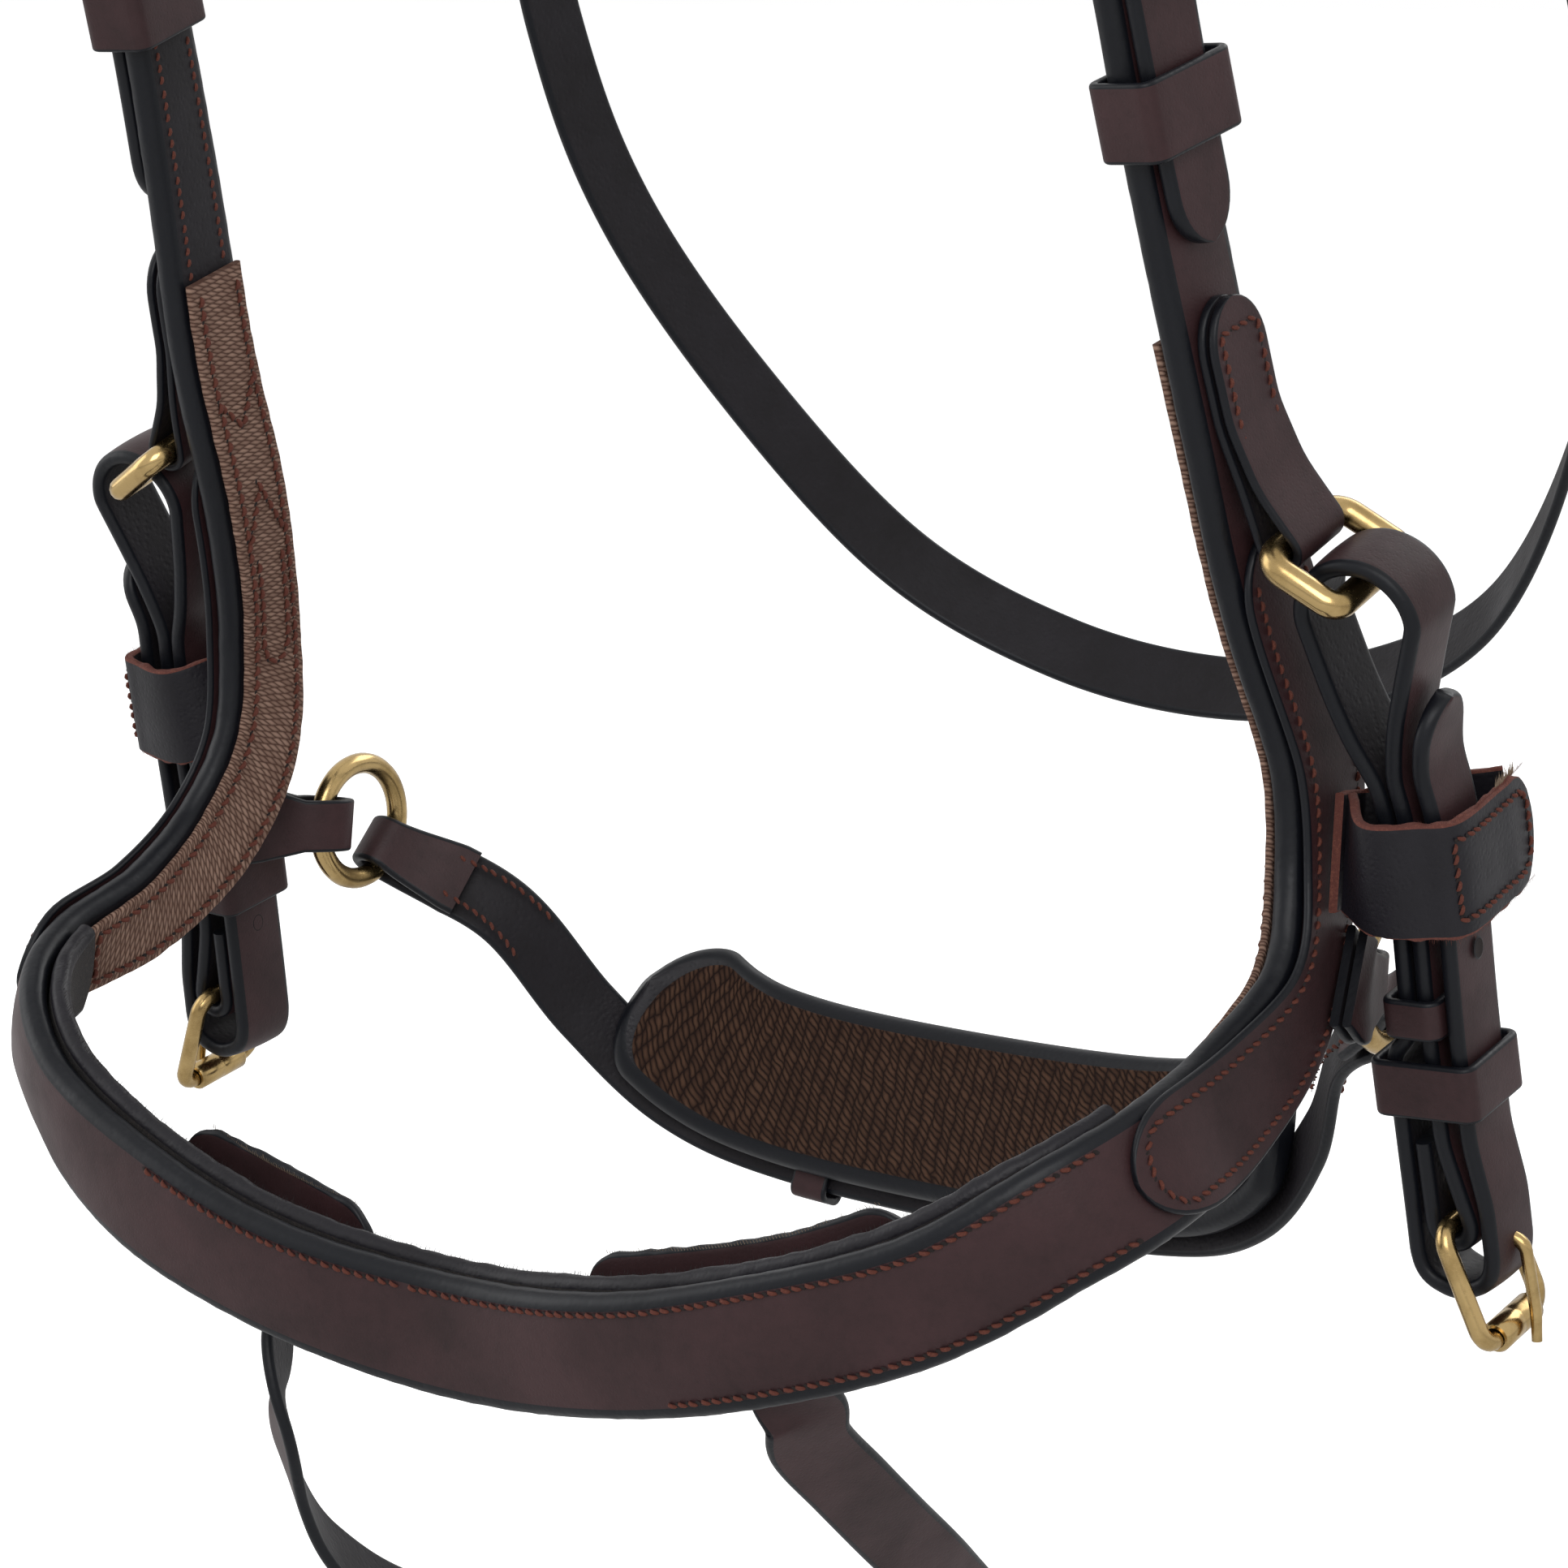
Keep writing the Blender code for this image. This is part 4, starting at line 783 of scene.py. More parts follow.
def overCrown(name, path, width, thickness, finishes, widths=None, tipReach=roundEnd, **ways):
    ending = widths(path[-1][0]) if widths else width * tipReach / roundEnd
    scale, reach, halves = 1 if widths else roundEnd / tipReach, ending * roundEnd, {}
    for side in (1, -1):
        stations = strapStations(faceRoutes[side], path, width, widths=widths)
        final = strapStations(faceRoutes[side], path, ending, tips=(False, True))
        last = final[-1][0]
        tip = [(c, h * scale) for c, h in final if (c - last).length < reach * 0.999]
        halves[side] = [(c, h) for c, h in stations if (c - last).length > reach * 1.02] + tip
    stations = [*reversed(halves[-1]), *halves[1][1:]]
    return placed(sweptStrap(name, stations, thickness, finishes, side=1, **ways), "root", name)


headPath = [(0, 0), (heelAt - buckleReach * 1.15, 0), (heelAt - buckleWire, billetHeel), (armFrom, billetChape),
            (chapeEnd, billetChape), (chapeEnd + leather * 2, billetArm), (headTip, billetArm)]
overCrown("headpiece", headPath, strapWidth, leather, hideSet, widths=crownTaper)
pollPad = {"bulge": (0.0004, 0.0022), "inset": 0.0042, "ends": (0.001, 0.006), "tip": 0.3, "fill": 0.7}
padOut = -(leather + padThickness) / 2 - lay
padPiece = overCrown("poll_pad", [(0, padOut), (padReach, padOut)], padWidth, padThickness * 0.8,
                     (darkLeather,) * 3, tipReach=pollPad["tip"], edge=0.5, bulge=pollPad["bulge"])
rows, (first, last) = [], pollPad["ends"]
for side in (1, -1):
    rows += seamPair(faceRoutes[side], padOut + padThickness * 0.4 + proud, first, padReach - last,
                     padWidth / 2 - pollPad["inset"])
stitched("padStitching", "root", rows, slot="dark_leather")

browAt = faceRoute.near(browRise)
browLoop = (strapWidth / 2 + keeperPlay, -leather / 2 - keeperPlay, leather / 2 + keeperPlay)
for side, word in words:
    keeper(word + "_browband_loop", "root", faceRoutes[side], browAt, browWidth, browLoop, bothSides)
browStart = faceRoute.at(browAt, 0, strapWidth / 2 + keeperPlay + thinLeather + gap) - middle
browShares = ((0.90, 0.62, 0.965), (0.62, 0.88, 0.93), (0.3, 0.98, 0.91), (0, 1, 0.905))
browHalf = [middle + Vector((x * browStart.x, -y * browDepth, z * browRise)) for x, y, z in browShares]
browControls = thereAndBack([middle + browStart, *browHalf])
browRoute = Route(browControls, [Vector((p.x, p.y * 0.8, 0)).normalized() for p in browControls], steps=3)
for first, step, side in ((0, 1, 1), (len(browRoute.frames) - 1, -1, -1)):
    cut = -faceRoutes[side].frame(browAt)[1]
    for k in range(6):
        here = browRoute.frames[first + step * k]
        here[3] = cut.lerp(here[3], k / 5).normalized()
browSeam = {"end": 0.004, "across": 0.0056}
strap("browband", "root", browRoute, [(0, 0), (browRoute.length, 0)], browWidth, leather, bulge=(0.0004, 0.0),
      edge=0.46)
stitched("browStitching", "root", seamPair(browRoute, leather / 2 + proud * 2, browSeam["end"],
                                           browRoute.length - browSeam["end"], browSeam["across"]))
print("headpiece ready")


# Buckles
def buckle(name, bodies, route, heel, way, toe, billetOut, roller=False):
    s, out = heel
    reach, toeOut = toe
    toeS = s + way * sqrt(reach**2 - toeOut**2)
    ahead = route.frame(s)[3].normalized()
    heelPoint, toePoint = route.at(s, out), route.at(toeS, out + toeOut)
    along = (toePoint - heelPoint).normalized()
    half, corner = strapWidth / 2 + ringPlay + buckleWire, buckleWire * 2
    frameLoop = roundedLoop((heelPoint + toePoint) / 2, along, ahead, reach / 2, half, (corner, corner))
    roundWire(name + "_frame", bodies[0], frameLoop, buckleWire, closed=True)
    curl = buckleWire + tongueWire + gap
    rest = curl
    if roller:
        bore = buckleWire + gap * 0.5
        turnedTube(name + "_roller", bodies[2], toePoint, ahead, half - corner - gap, bore, rollerWall)
        rest += rollerWall + gap
    through = billetOut - out
    over = through + leather / 2 + tongueWire + gap
    top = out + toeOut + rest
    path = [(s - way * c, o) for c, o in arc((0, out), curl, -120, 90, 14)]
    path += [(s + way * curl * 0.8, out + through * 0.72), (s + way * curl * 1.45, out + max(over, curl))]
    path += [(toeS - way * buckleWire, top), (toeS + way * tongueWire * 2, top)]
    roundWire(name + "_tongue", bodies[1], [route.at(*p) for p in softened(path, 0.0015)], tongueWire,
              swell=lambda t: 1.0 if t < 0.9 else 1.0 - (t - 0.9) * 2.5)


holeRim = ((1.0, 0.00003), (0.86, 0.00011), (0.70, 0.00007))  # (share of the hole, rise)


def punched(name, body, route, holes, out):  # holes with a pressed rim at these lengths; each hole is a dark disc of painted shade, not an opening
    verts, faces, sides, sign = [], [], 18, 1 if out >= 0 else -1
    for s in holes:
        _, tangent, _, ahead = route.frame(s)
        first = len(verts)
        for radius, lift in holeRim:
            for k in range(sides):
                a = tau * k / sides
                verts.append(route.at(s, out + sign * lift) + tangent * (cos(a) * holeSize * 0.52 * radius)
                             + ahead * (sin(a) * holeSize * 0.44 * radius))
        verts.append(route.at(s, out + sign * holeRim[0][1]))
        inner = first + 2 * sides
        faces += ringFaces(first, 2, sides)
        faces += [(inner + k, inner + (k + 1) % sides, inner + sides) for k in range(sides)]
    # slot 1 is the disc of painted hole shade
    slots = [0 if i % (sides * 3) < sides else 1 for i in range(len(faces))]
    piece = builtMesh(name, verts, faces, slots, [paintedEdge, paintedHoleShade])
    return placed(piece, body)


keeperShares = {1: 0.594, -1: 0.714}
chapeSeam = {"end": 0.002, "across": 0.0046}
keeperLow, keeperHigh = -armThickness / 2 - keeperPlay, billetArm + leather / 2 + keeperPlay
for side, word in words:
    route = faceRoutes[side]
    foldHalf = buckleWire + gap + thinLeather / 2
    chape = folded([(chapeEnd, 0), (armFrom, 0), (heelAt + buckleWire * 2.4, 0), (heelAt, 0)],
                   (chapeHalf, chapeHalf, foldHalf, foldHalf))
    strap(word + "_cheek_chape", "root", route, chape, strapWidth, thinLeather, flip=True)
    rows = []
    for out in (chapeHalf + thinLeather / 2, -chapeHalf - thinLeather / 2):
        rows += seamPair(route, out, armFrom + chapeSeam["end"], chapeEnd - chapeSeam["end"], chapeSeam["across"])
    stitched(word + "ChapeStitching", "root", rows)
    buckle(word + "_cheek_buckle", ("root", word + "_cheek_tongue"), route, (heelAt, 0), -1,
           (buckleReach, buckleWire * 3.6), billetHeel)
    at = route.near(cheekRise * keeperShares[side])
    keeper(word + "_cheek_keeper", word + "_cheek_keeper", route, at, keeperHeight * 1.3,
           (noseWidth(at) / 2 + keeperPlay, keeperLow, keeperHigh))
print("cheek buckles ready")

# Cheek rings and bit straps
def swung(wing, parts=9):  # (centre, half width) stations along a smooth curve
    return list(zip(flowing([c for c, _ in wing], parts), flowing([h for _, h in wing], parts)))


class Flap:  # places on the outer face of a wrap's flap
    def __init__(self, line, half, side):
        self.line, self.half, self.side, self.walked = line, half, side, [0.0]
        for (a, _), (b, _) in zip(line, line[1:]):
            self.walked.append(self.walked[-1] + (b - a).length)
        self.length = self.walked[-1]

    def at(self, d, v):
        k = min(max(bisect_right(self.walked, d) - 1, 0), len(self.walked) - 2)
        t = (d - self.walked[k]) / (self.walked[k + 1] - self.walked[k])
        a, b = self.line[k][0], self.line[k + 1][0]
        up = self.half.cross((b - a).normalized()).normalized() * self.side
        return a.lerp(b, t) + self.half.normalized() * v + up * (thinLeather * 0.55 + proud), up


ringHalf = strapWidth / 2 + ringPlay + ringWire
ringAngle = radians(ringTilt)
chapeLeaves = armThickness / 2 + lay + thinLeather + lay / 2
bitShares = ((1.11, 0.182, -0.167), (1.138, 0.277, -0.317), (1.147, 0.388, -0.583), (1.165, 0.5, -0.875),
             (1.17, 0.517, -0.983))
chapeShares = ((0.35, 0.31), (0.27, 0.35), (0.2, 0.46), (0.12, 0.7))
wrapSet = (darkLeather, rawEdge, fleshSide)
ringSeam = {"start": 0.0045, "end": 0.002, "across": 0.0045}
flapBox = {"length": 0.0225, "far": 0.0024, "half": 0.0062, "corner": 0.0040, "pitch": 0.0019}
flapNap = {"length": 0.0008, "thickness": 0.00004, "stray": 0.8}
tapeEnds = {"length": 0.0021, "thickness": 0.00006, "stray": 0.5}
flapHairs, tapeEndsAt = 170, (0.011, 0.00016, 46)
billetHoleAt, innerHolePast = 0.0585, 0.0085
leaf = (thinLeather + lay) / 2
leaves = (leaf, leaf, leaf, leaf * 1.3, ringWire + gap + thinLeather / 2)

# the bit strap's layers, outward from its route, and the wrap round them
layer, fold = leather + lay, buckleWire + gap + leather / 2
turnOut, billetHigh, billetLow = -layer * 2, fold + leather + lay * 0.7, layer + thinLeather
held = strapWidth / 2 + lay * 2
innerOut = -layer - (leather + thinLeather) / 2 - wrapPlay
flapOut = billetLow + (leather + thinLeather) / 2 + wrapPlay * 0.7
footOut = lapOut + thinLeather + lay
wrapSteps = ((0.21, 1.07), (0.1, 1.07), (-0.02, 1.07), (-0.16, 1.2))
wrapAcross = ((held * 0.5, innerOut * 1.04), (held, innerOut * 0.95), (held * 1.4, innerOut * 0.3),
              (held + wrapTip * 0.75, flapOut * 0.62))
flapAcross = ((-held * 1.3, innerOut * 0.6), (-held * 1.12, flapOut * 0.45), (-held * 0.75, flapOut),
              (held * 0.8, flapOut), (held * 1.4, flapOut * 0.97), (held + wrapTip * 0.85, flapOut * 0.85))


def addRing(word, route):  # returns the middle of the ring's outer bar
    ringS = route.near(ringRise)
    barS, barOut = ringS + ringDepth * cos(ringAngle), ringOut + ringDepth * sin(ringAngle)
    centre = [(route.near(cheekRise * rise), max(ringOut * share, chapeLeaves)) for rise, share in chapeShares]
    path = folded([*centre, (ringS, ringOut)], leaves)
    strap(word + "_ring_chape", "root", route, path, strapWidth, thinLeather, tips=(True, True), flip=True)
    s0, s1, across = centre[0][0] + ringSeam["start"], centre[2][0] + ringSeam["end"], ringSeam["across"]
    rows = [seamLine(route, chapeLeaves + leaf + thinLeather / 2, shape)
            for shape in ([(s0, -across), (s0, across), (s1, across)], [(s0, -across), (s1, -across)])]
    stitched(word + "RingStitching", "root", rows)
    hinge, bar = route.at(ringS, ringOut), route.at(barS, barOut)
    ring = roundedLoop((hinge + bar) / 2, (bar - hinge).normalized(), route.frame(ringS)[3].normalized(),
                       ringDepth / 2, ringHalf, (ringWire, ringWire * 1.7))
    roundWire(word + "_cheek_ring", word + "_ring", ring, ringWire, closed=True)
    return bar


def addBitStrap(word, down):
    archAt, turnRadius = archRadius - leather / 2 - ringWire - keeperPlay * 1.6, (billetHigh - turnOut) / 2
    path = [(bundleHeel - strapWidth, -layer), *arc((bundleHeel, 0), fold, -90, 90)]
    path += [(bundleHeel - strapWidth, 0), (bundleTop, 0), (bundleTop * 0.55, archRadius * 0.55)]
    path += arc((archAt, 0), archRadius, 90, 270, 14)
    path += [(bundleTop * 0.55, -archRadius * 0.72), (bundleTop, -layer)]
    path += [(smallLoopAt + keeperHeight * 0.4, -layer), (bundleKeeperAt - keeperHeight / 2, turnOut)]
    path += [(bundleEnd - turnRadius, turnOut)]
    path += arc((bundleEnd, (billetHigh + turnOut) / 2), turnRadius, -90, 90)
    path += [(bundleHeel - fold, billetHigh), (bundleHeel - strapWidth, billetLow)]
    path += [(bundleTop, billetLow), (bundleTop * 0.6, billetLow + archRadius * 0.5)]
    body = word + "_bit"
    strap(body + "_strap", body, down, path, strapWidth, leather, tips=(False, True), flip=True, edge=0.46,
          bulge=(0.0002, 0.0))
    buckle(body + "_buckle", (body, body + "_tongue", body + "_roller"), down, (bundleHeel, 0), 1,
           (buckleReach * 1.16, buckleReach * 0.38), billetHigh, roller=True)
    half, room = strapWidth / 2 + keeperPlay, leather / 2 + keeperPlay
    keeper(body + "_keeper", body + "_keeper", down, bundleKeeperAt, keeperHeight,
           (half, turnOut - room, billetLow + room))
    keeper(body + "_loop", body, down, smallLoopAt, keeperHeight * 0.7, (half, -layer - room, leather / 2 + gap))
    front = billetLow + leather / 2 + proud * 6
    punched(word + "BilletHoles", body, down, [bundleHeel - strapWidth * 0.55, billetHoleAt], front)
    punched(word + "InnerHoles", body, down, [bundleKeeperAt + innerHolePast], turnOut - leather / 2 - proud)


def addWrap(side, word, route, down):  # an inner wing, and a flap that closes over the straps
    wrapPoint, wrapDown = down.frame(wrapAt)[:2]
    armS = route.near(wrapPoint.z - middle.z)
    armDown = route.frame(armS)[1].normalized() * wrapHeight / 2
    flapHalf = wrapDown.normalized() * wrapHeight / 2
    wing = [(route.at(armS, footOut * rise, armWidth * share), armDown) for share, rise in wrapSteps]
    wing = swung(wing + [(down.at(wrapAt, o, -u), flapHalf) for u, o in wrapAcross])
    piece = sweptStrap(word + "_wrap", wing, thinLeather, wrapSet, side=side, edge=0.3, wave=0.0004)
    placed(piece, "root", word + "_wrap")
    seat = route.at(armS, footOut + thinLeather + lay, armWidth * 0.15)
    wing = swung([(seat, armDown), *[(down.at(wrapAt, o, -u), flapHalf) for u, o in flapAcross]])
    end, last, tipWidth = down.at(wrapAt, flapOut * 0.85, -held - wrapTip), wing[-1][0], wrapHeight * 0.72
    cut = next(k for k, (c, _) in enumerate(wing) if (c - last).length < wrapHeight * 0.28)
    start, tip = wing[cut][0], []
    for distance, share in reversed(tipShares(tipWidth)):
        tip.append((start + (end - start) * (1 - distance / (tipWidth * roundEnd)), flapHalf * share))
    flap = Flap(wing[:cut] + tip, flapHalf, side)
    piece = sweptStrap(word + "_wrap_flap", flap.line, thinLeather * 1.1, wrapSet, side=side, edge=0.3,
                       wave=0.0005)
    placed(piece, word + "_flap", word + "_wrap_flap")
    return flap


def addFlapSewing(word, flap):  # a stitched box at the flap's end, raw edges and the tape's loose ends
    body = word + "_flap"
    far, h, c = flap.length - flapBox["far"], flapBox["half"], flapBox["corner"]
    near = far - flapBox["length"]
    outline = [(near, -h), (near, h), (far - c, h), *arc((far - c, h - c), c, 75, 0, 5),
               *arc((far - c, c - h), c, 0, -90, 6), (near, -h)]
    row = [flap.at(*spot) for spot in dense(outline)]
    stitched(word + "FlapStitching", body, [row], pitch=flapBox["pitch"])
    roots, upright = [], flap.half.normalized()
    for k in range(flapHairs):
        edge = 1 if k % 2 else -1
        spot, up = flap.at(flap.length * (0.35 + 0.64 * k / flapHairs), (wrapHeight / 2 - proud * 2) * edge)
        roots.append((spot - up * proud * 6, (upright * edge + up * 0.2).normalized()))
    fibres(word + "FlapNap", body, roots, rawEdge, **flapNap)
    roots, (first, pitch, count) = [], tapeEndsAt
    for k in range(count):
        spot, up = flap.at(flap.length - first + pitch * k, -wrapHeight / 2 + proud * 4)
        roots.append((spot - up * proud * 10, (up * 0.15 - upright).normalized()))
    fibres(word + "TapeEnds", body, roots, looseFibre, **tapeEnds)


for side, word in words:
    bar = addRing(word, faceRoutes[side])
    down = Route([bar, *fromShares(bitShares, noseSize, side)], [Vector((side, 0, 0))] * 6, side)
    addBitStrap(word, down)
    addFlapSewing(word, addWrap(side, word, faceRoutes[side], down))
print("bit straps ready")

# Chin: tabs, rings, strap and pad
chinShares = ((0.83, 0.682, -0.655), (0.726, 0.807, -0.805), (0.587, 0.9, -0.925), (0.385, 0.966, -0.982),
              (0, 1, -1))
ringCentre = middle + Vector((chinHalf, chinRingBack, -chinRingDrop))
hold = Vector((0, 0.755, -0.655)) * chinRadius
slack = chinRadius - sqrt(chinRadius**2 - (eyeWidth / 2) ** 2) + gap


def tabTaper(s):
    share = min(max((chinTabWidth - s) / (chinTabWidth * 0.7), 0), 1)
    return eyeWidth + (chinTabWidth - eyeWidth) * share


for side, word in words:
    route = faceRoutes[side]
    spot = Vector((side * ringCentre.x, ringCentre.y, ringCentre.z))
    tabS = route.near(-noseDrop * 0.5)
    tabOut = lapOut + thinLeather * 1.5 + lay * 1.5
    tabStart, tabEdge = route.at(tabS, tabOut, -armWidth * 0.22), route.at(tabS, tabOut, -armWidth * 0.6)
    front = spot + Vector((0, *(tabEdge - spot).yz)).normalized() * chinRadius
    tabWay = route.frame(tabS)[2]
    tabRoute = Route([tabStart, tabEdge, front], [tabWay, tabWay, Vector((side, 0, 0))], side)
    end, wide = tabRoute.length, chinWire + lay * 1.5 + gap + thinLeather / 2
    centre = [(0, 0), (end * 0.55, 0), (end - chinWire, 0), (end + slack + gap, 0)]
    tabPath = folded(centre, (leaf, leaf, wide, wide))
    strap(word + "_chin_tab", "root", tabRoute, tabPath, chinTabWidth, thinLeather, widths=tabTaper, flip=True)
    circle = [spot + Vector((0, y, z)) for y, z in arc((0, 0), chinRadius, 0, 354, 59)]
    roundWire(word + "_chin_ring", word + "_chin_ring", circle, chinWire, closed=True)

chinControls = thereAndBack([ringCentre + hold, *fromShares(chinShares, (chinHalf, chinDepth, chinDrop))])
chinWays = [Vector((p.x / chinHalf * 0.9, (p.y - crownBack) / chinDepth, -0.38)) for p in chinControls]
chinRoute = Route(chinControls, chinWays)


def chinTaper(s):
    share = min(max(min(s, chinRoute.length - s) / turnedEnd, 0), 1)
    return eyeWidth + (strapWidth - eyeWidth) * share


def roundRing(end, way, radius, slack):
    pitch, low = softLeather + lay, -slack * 0.35
    bend = [(low - s, o + low) for s, o in arc((0, 0), radius + slack / 2, -90, 90, 12)]
    path = [(turnedEnd * 1.2, -pitch), (radius * 1.5, low - radius * 0.95), *bend, (radius * 2, radius * 0.55),
            (turnedEnd, 0)]
    return [(end + way * s, o) for s, o in path]


def fasten(name, route, heel, way, strapStart, billetStart, past, widths=None):
    fold, pitch = buckleWire + lay + softLeather / 2, softLeather + lay
    high = fold * 2 + softLeather + lay * 1.3
    turned = [(heel + way * s, o + fold) for s, o in arc((0, 0), fold, -90, 90)]
    path = [*strapStart, *turned, (heel - way * turnedEnd, pitch)]
    strap(name + "_strap", name, route, path, strapWidth, softLeather, widths=widths, flip=way < 0)
    steps = ((buckleReach * 1.15, 0), (0, high), (-turnedEnd, pitch * 2), (-turnedEnd * 1.4, pitch),
             (-past, pitch))
    path = [*billetStart, *[(heel + way * s, o) for s, o in steps]]
    strap(name + "_billet", name, route, path, strapWidth, softLeather, tips=(False, True), widths=widths,
          flip=way > 0)
    buckle(name + "_buckle", (name, name + "_tongue"), route, (heel, fold), way, (buckleReach, fold * 1.4), high)
    keeper(name + "_keeper", name, route, heel - way * (turnedEnd * 1.4 + keeperHeight * 0.7), keeperHeight * 0.8,
           (strapWidth / 2 + keeperPlay, -softLeather / 2 - gap, pitch + softLeather / 2 + keeperPlay))
    holes = [heel - way * k for k in (turnedEnd * 2.2, turnedEnd * 3.0) if k < past - holeSize * 1.18]
    if holes:
        punched(name + "BilletHoles", name, route, holes, pitch + softLeather / 2 + proud)


eye = chinWire + gap + softLeather / 2
chinHeel = chinRoute.length / 2 + eyeWidth
ends = [roundRing(end, way, eye, slack) for end, way in ((chinRoute.length, -1), (0, 1))]
fasten("chin", chinRoute, chinHeel, -1, *ends, turnedEnd * 2.7, chinTaper)
chinSeam = {"from": (0.012, 0.0036), "to": (0.030, 0.0047)}
rows, (first, inset), (last, endInset) = [], chinSeam["from"], chinSeam["to"]
for start, way in ((0, 1), (chinRoute.length, -1)):
    for out in (softLeather / 2, -softLeather * 1.5 - lay):
        rows += seamPair(chinRoute, out, start + way * first, start + way * last, inset, endInset)
stitched("chinStitching", "chin", rows)

# pad: leather bound, with a hook tape face towards the jaw
chinPad = {"bulge": (0.0003, 0.0008), "border": 0.0062, "faceThickness": 0.0009, "fill": 0.6, "step": 0.0005}
padMiddle, padOut = chinRoute.length / 2, -(softLeather + chinPadThickness) / 2 - lay


def paddedEnds(width, reach):
    def widthAt(s):
        d = (reach - abs(s - padMiddle)) / (width * 0.34)
        return width * (1 if d >= 1 else max(sqrt(max(1 - (1 - d) ** 2, 0)), 0.08))
    return widthAt


def padPath(reach, out):
    edge = [padMiddle - reach + chinPad["step"] * k for k in range(26)]
    return [(s, out) for s in (*edge, *[2 * padMiddle - s for s in reversed(edge)])]


padShape = {"ahead": -chinPadRise, "spacing": 0.001}
chinPadPiece = strap("chin_pad", "chin", chinRoute, padPath(chinPadReach, padOut), chinPadWidth, chinPadThickness,
                     (darkLeather, paintedEdge, darkLeather), widths=paddedEnds(chinPadWidth, chinPadReach),
                     edge=0.5, bulge=chinPad["bulge"], **padShape)
faceWidth, faceReach = chinPadWidth - chinPad["border"], chinPadReach - chinPad["border"] / 2
faceOut = padOut - chinPadThickness / 2 - chinPad["bulge"][1] * 0.6
hook = strap("chinPadFace", "chin", chinRoute, padPath(faceReach, faceOut), faceWidth, chinPad["faceThickness"],
             finishes=(hookFace, hookFace, hookFace), nodes=["chin_pad"], widths=paddedEnds(faceWidth, faceReach),
             edge=0.4, bulge=(0.0, 0.0004), **padShape)
print("chin strap ready")

# Throatlatch
throatShares = ((0.912, 0.275, 0.545), (0.961, 0.472, 0.379), (1, 0.595, 0.227), (0.961, 0.687, 0.121),
                (0.833, 0.81, 0.015), (0.608, 0.92, -0.085), (0.314, 0.98, -0.136), (0, 1, -0.1515))
anchorAt, leaveAt = faceRoute.near(throatRise), faceRoute.near(throatRise * 0.9)
anchor = faceRoute.at(anchorAt, -leather - lay, -crownWidth * 0.22)
leave = faceRoute.at(leaveAt, -leather - lay, -crownWidth * 0.5)
throatControls = thereAndBack([anchor, leave, *fromShares(throatShares, (jawHalf, jawDepth, crownRise))])
throatWays = []
for point in throatControls:
    x, y, z = point - middle
    throatWays.append(Vector((x / jawHalf, y / jawDepth * 1.2 - 0.45, min(z / crownRise - 0.4, 0))))
for k, side, at in ((0, 1, anchorAt), (1, 1, leaveAt), (-1, -1, anchorAt), (-2, -1, leaveAt)):
    throatWays[k] = faceRoutes[side].frame(at)[2]
throatRoute = Route(throatControls, throatWays)
throatHeel = throatRoute.length - throatRoute.near(crownRise * 0.52)
fasten("throat", throatRoute, throatHeel, 1, [(0, 0)], [(throatRoute.length, 0)], turnedEnd * 3.2)

# Lower strap and the tabs that hold it inside the band
leftLeg = ((0.898, -0.577, -0.639), (0.878, -0.423, -0.689), (0.85, -0.256, -0.741), (0.8, 0.0, -0.818),
           (0.7, 0.3, -0.91), (0.42, 0.54, -0.98), (0, 0.56, -1))
rightLeg = ((0.67, -0.66, -0.7), (0.71, -0.58, -0.775), (0.71, -0.45, -0.85), (0.64, -0.2, -0.925),
            (0.42, 0.2, -0.978))
legOut = -(armThickness + softLeather) / 2 - liningThickness - lay * 3.5
legAt = {1: halfLength - noseHalf * 0.53, -1: halfLength - noseHalf * 0.39}
lowerHalves = []
for side, legShares in ((1, leftLeg), (-1, rightLeg)):
    route, at = faceRoutes[side], legAt[side]
    leg = [route.at(at, legOut, bandWidth * share) for share in (0.2, -0.15, -0.5)]
    leg.append(route.at(at, legOut * 1.4, -bandWidth * 0.76))
    lowerHalves.append([*leg, *fromShares(legShares, (loopHalf, loopDepth, loopDrop), side)])
lowerControls = [*lowerHalves[0], *reversed(lowerHalves[1])]
lowerWays = []
for point in lowerControls:
    x, y, z = point - middle
    lowerWays.append(Vector((x / loopHalf * 0.9, y / loopDepth * 1.2 + 0.2, -0.6)))
for k in range(3):
    lowerWays[k] = faceRoutes[1].frame(legAt[1])[2]
    lowerWays[-1 - k] = faceRoutes[-1].frame(legAt[-1])[2]
lowerRoute = Route(lowerControls, lowerWays)
lowerHeel = lowerRoute.length * 0.5 + strapWidth * 1.08
fasten("lower", lowerRoute, lowerHeel, 1, [(0, 0)], [(lowerRoute.length, 0)], turnedEnd * 2.7)

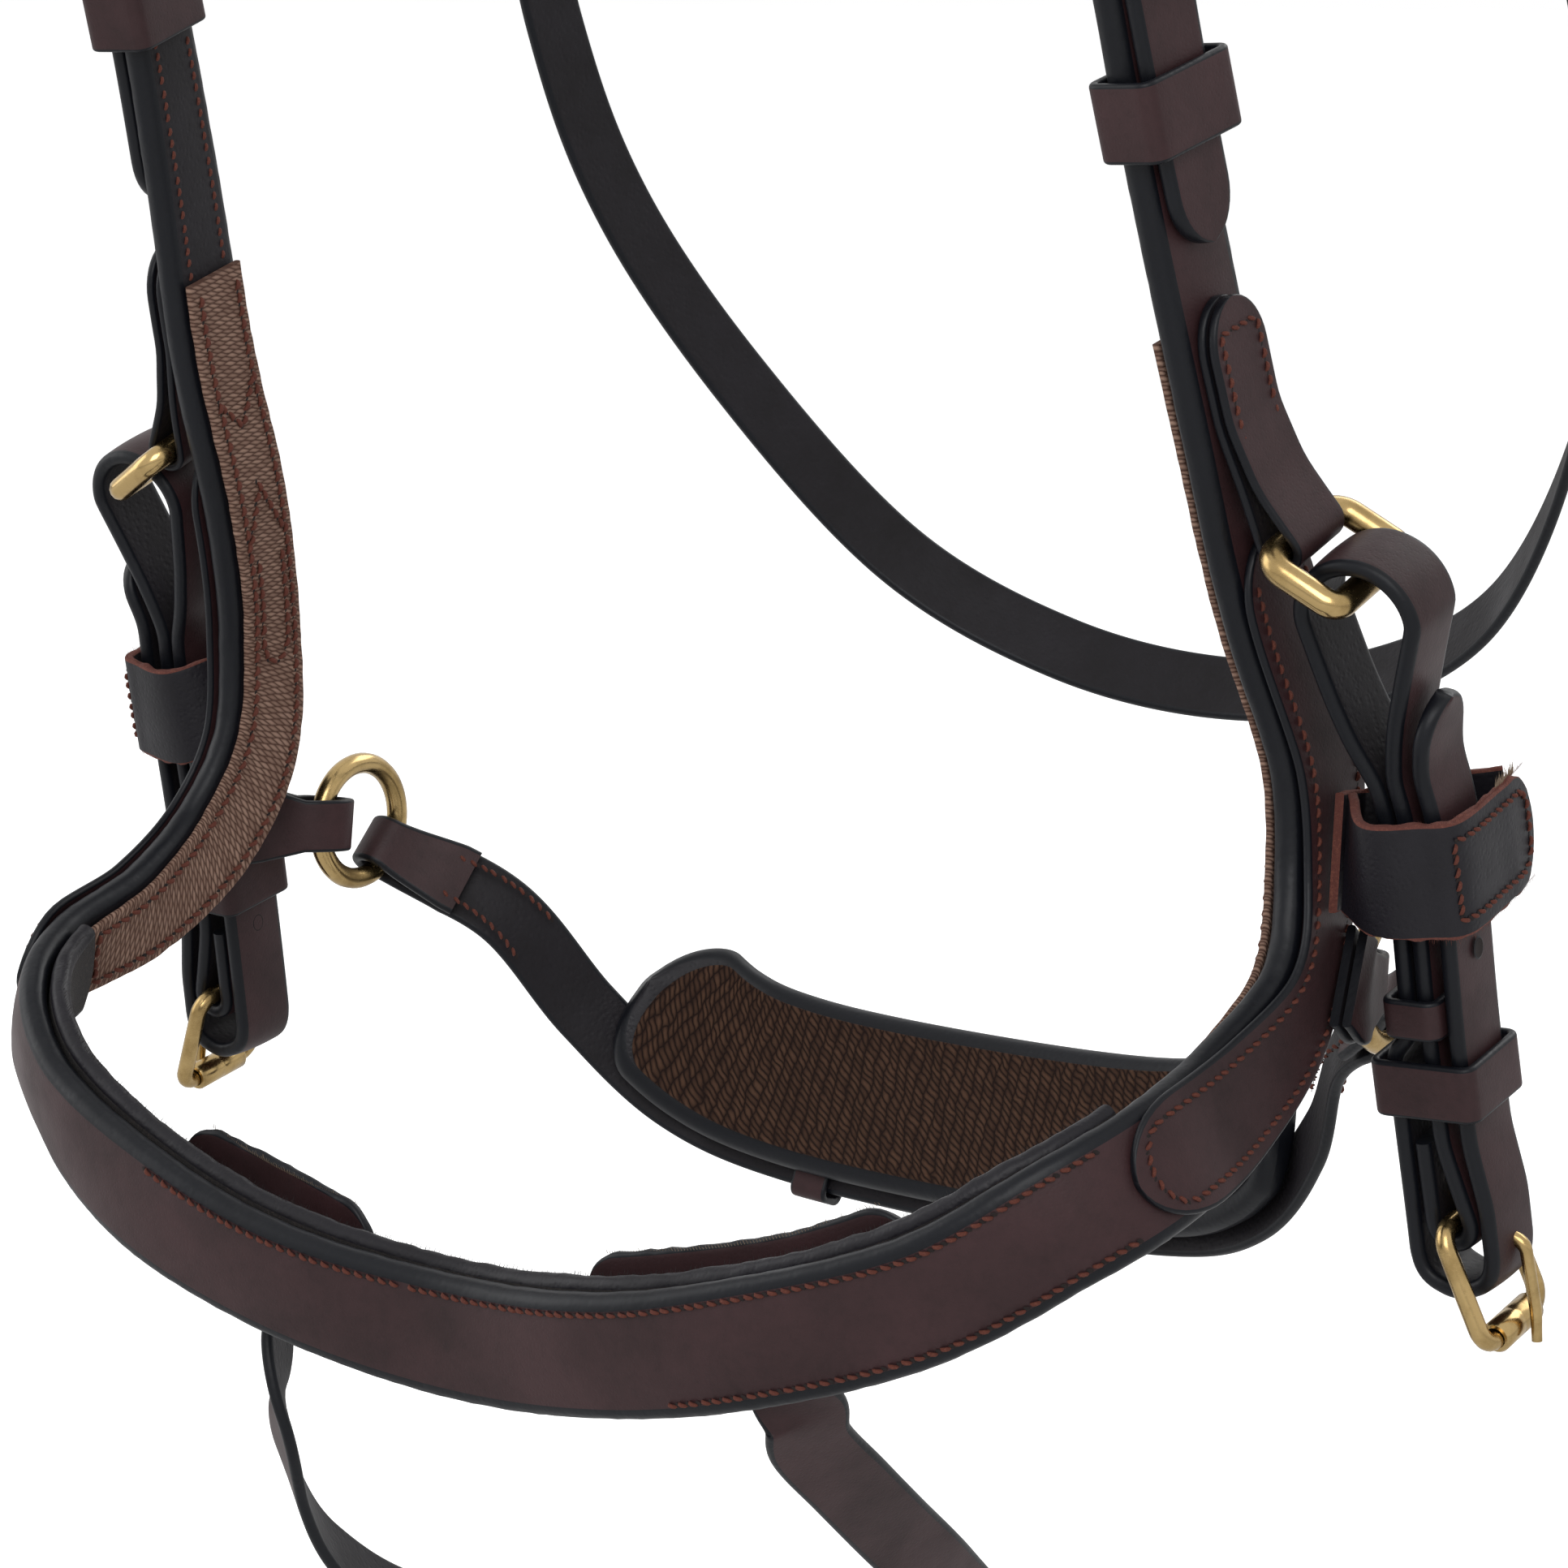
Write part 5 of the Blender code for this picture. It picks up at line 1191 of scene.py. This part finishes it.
tabs = {"left": {"from": 0.022, "to": 0.088, "rise": 0.0062, "width": 0.0125},
        "right": {"from": 0.022, "to": 0.066, "rise": 0.0056, "width": 0.0120}}
tabCurve = ((0, 0.0014), (0.25, -0.0004), (0.5, -0.0012), (0.75, -0.0002), (1, 0.0014))
tabThickness, tabMargin, tabHairs = 0.0016, 0.004, 90
tabNap = {"length": 0.0010, "thickness": 0.00005, "stray": 0.9}
for side, word in words:
    plan, route = tabs[word], faceRoutes[side]
    start, out = halfLength - plan["to"], legOut - softLeather - lay * 1.2
    span = plan["to"] - plan["from"]
    path = [(start + span * share, out + bow) for share, bow in tabCurve]
    piece = strap(word + "BandTab", "root", route, path, plan["width"], tabThickness, nodes=["nose_lining"],
                  finishes=(bridleLeather, paintedEdge, armTape), tips=(True, True), ahead=plan["rise"], edge=0.4,
                  wave=0.0003)
    roots = []
    for k in range(tabHairs):
        s = start + tabMargin + (span - tabMargin * 2) * k / tabHairs
        _, _, outward, ahead = route.frame(s)
        spot = route.at(s, out + proud * 2, plan["rise"] + plan["width"] / 2 - proud * 4)
        roots.append((spot, (ahead + outward * 0.3).normalized()))
    fibres(word + "TabNap", "root", roots, looseFibre, **tabNap)
print("throatlatch and lower strap ready")

# Studio
studio = {"floor": -0.585, "paper": (0.93, 0.93, 0.93, 1), "flecks": (0.9486, 0.9486, 0.9486, 1),
          "worldLight": 0.46, "floorGlow": 0.57, "grain": 900.0}
lamps = (("keyBox", (0.9, -1.5, 0.75), (1.2, 1.2), 19), ("fillBox", (-1.5, -0.7, 0.2), (1.0, 1.4), 8),
         ("rimBox", (0.3, 1.5, 0.9), (1.4, 0.8), 11))
scene = bpy.context.scene
scene.view_settings.view_transform = "Standard"
scene.world = bpy.data.worlds.new("studio")
scene.world.use_nodes = True
tree = scene.world.node_tree
background, w = tree.nodes["Background"], Wiring(tree)
rays = w.add("LightPath").outputs
seen = w.calc("MAXIMUM", rays["Is Camera Ray"], rays["Is Transmission Ray"])
seen = w.calc("MAXIMUM", seen, rays["Is Glossy Ray"])
tree.links.new(w.ramp(seen, 0, 1, studio["worldLight"], 1.0), background.inputs["Strength"])
background.inputs["Color"].default_value = (1, 1, 1, 1)

paper, tree, shader = newMaterial("studioPaper")
shader.inputs["Roughness"].default_value = 0.9
shader.inputs["Specular IOR Level"].default_value = 0.1
shader.inputs["Emission Color"].default_value = (1, 1, 1, 1)
w = Wiring(tree)
flecks = w.add("TexNoise", {"Scale": studio["grain"], "Detail": 2.0}).outputs["Fac"]
tree.links.new(w.mix(flecks, studio["paper"], studio["flecks"]), shader.inputs["Base Color"])
glow = w.ramp(w.add("LightPath").outputs["Is Camera Ray"], 0, 1, 0.0, studio["floorGlow"])
tree.links.new(glow, shader.inputs["Emission Strength"])
shape = bmesh.new()
bmesh.ops.create_grid(shape, x_segments=2, y_segments=2, size=30)
mesh = bpy.data.meshes.new("studioFloor")
shape.to_mesh(mesh)
shape.free()
mesh.materials.append(paper)
floor = bpy.data.objects.new("studioFloor", mesh)
floor.location = (0, 0, studio["floor"])
scene.collection.objects.link(floor)

for name, place, (wide, high), power in lamps:
    light = bpy.data.lights.new(name, "AREA")
    light.shape, light.size, light.size_y, light.energy = "RECTANGLE", wide, high, power
    lamp = bpy.data.objects.new(name, light)
    lamp.location = place
    lamp.rotation_euler = (middle - Vector(place)).to_track_quat("-Z", "Y").to_euler()
    scene.collection.objects.link(lamp)
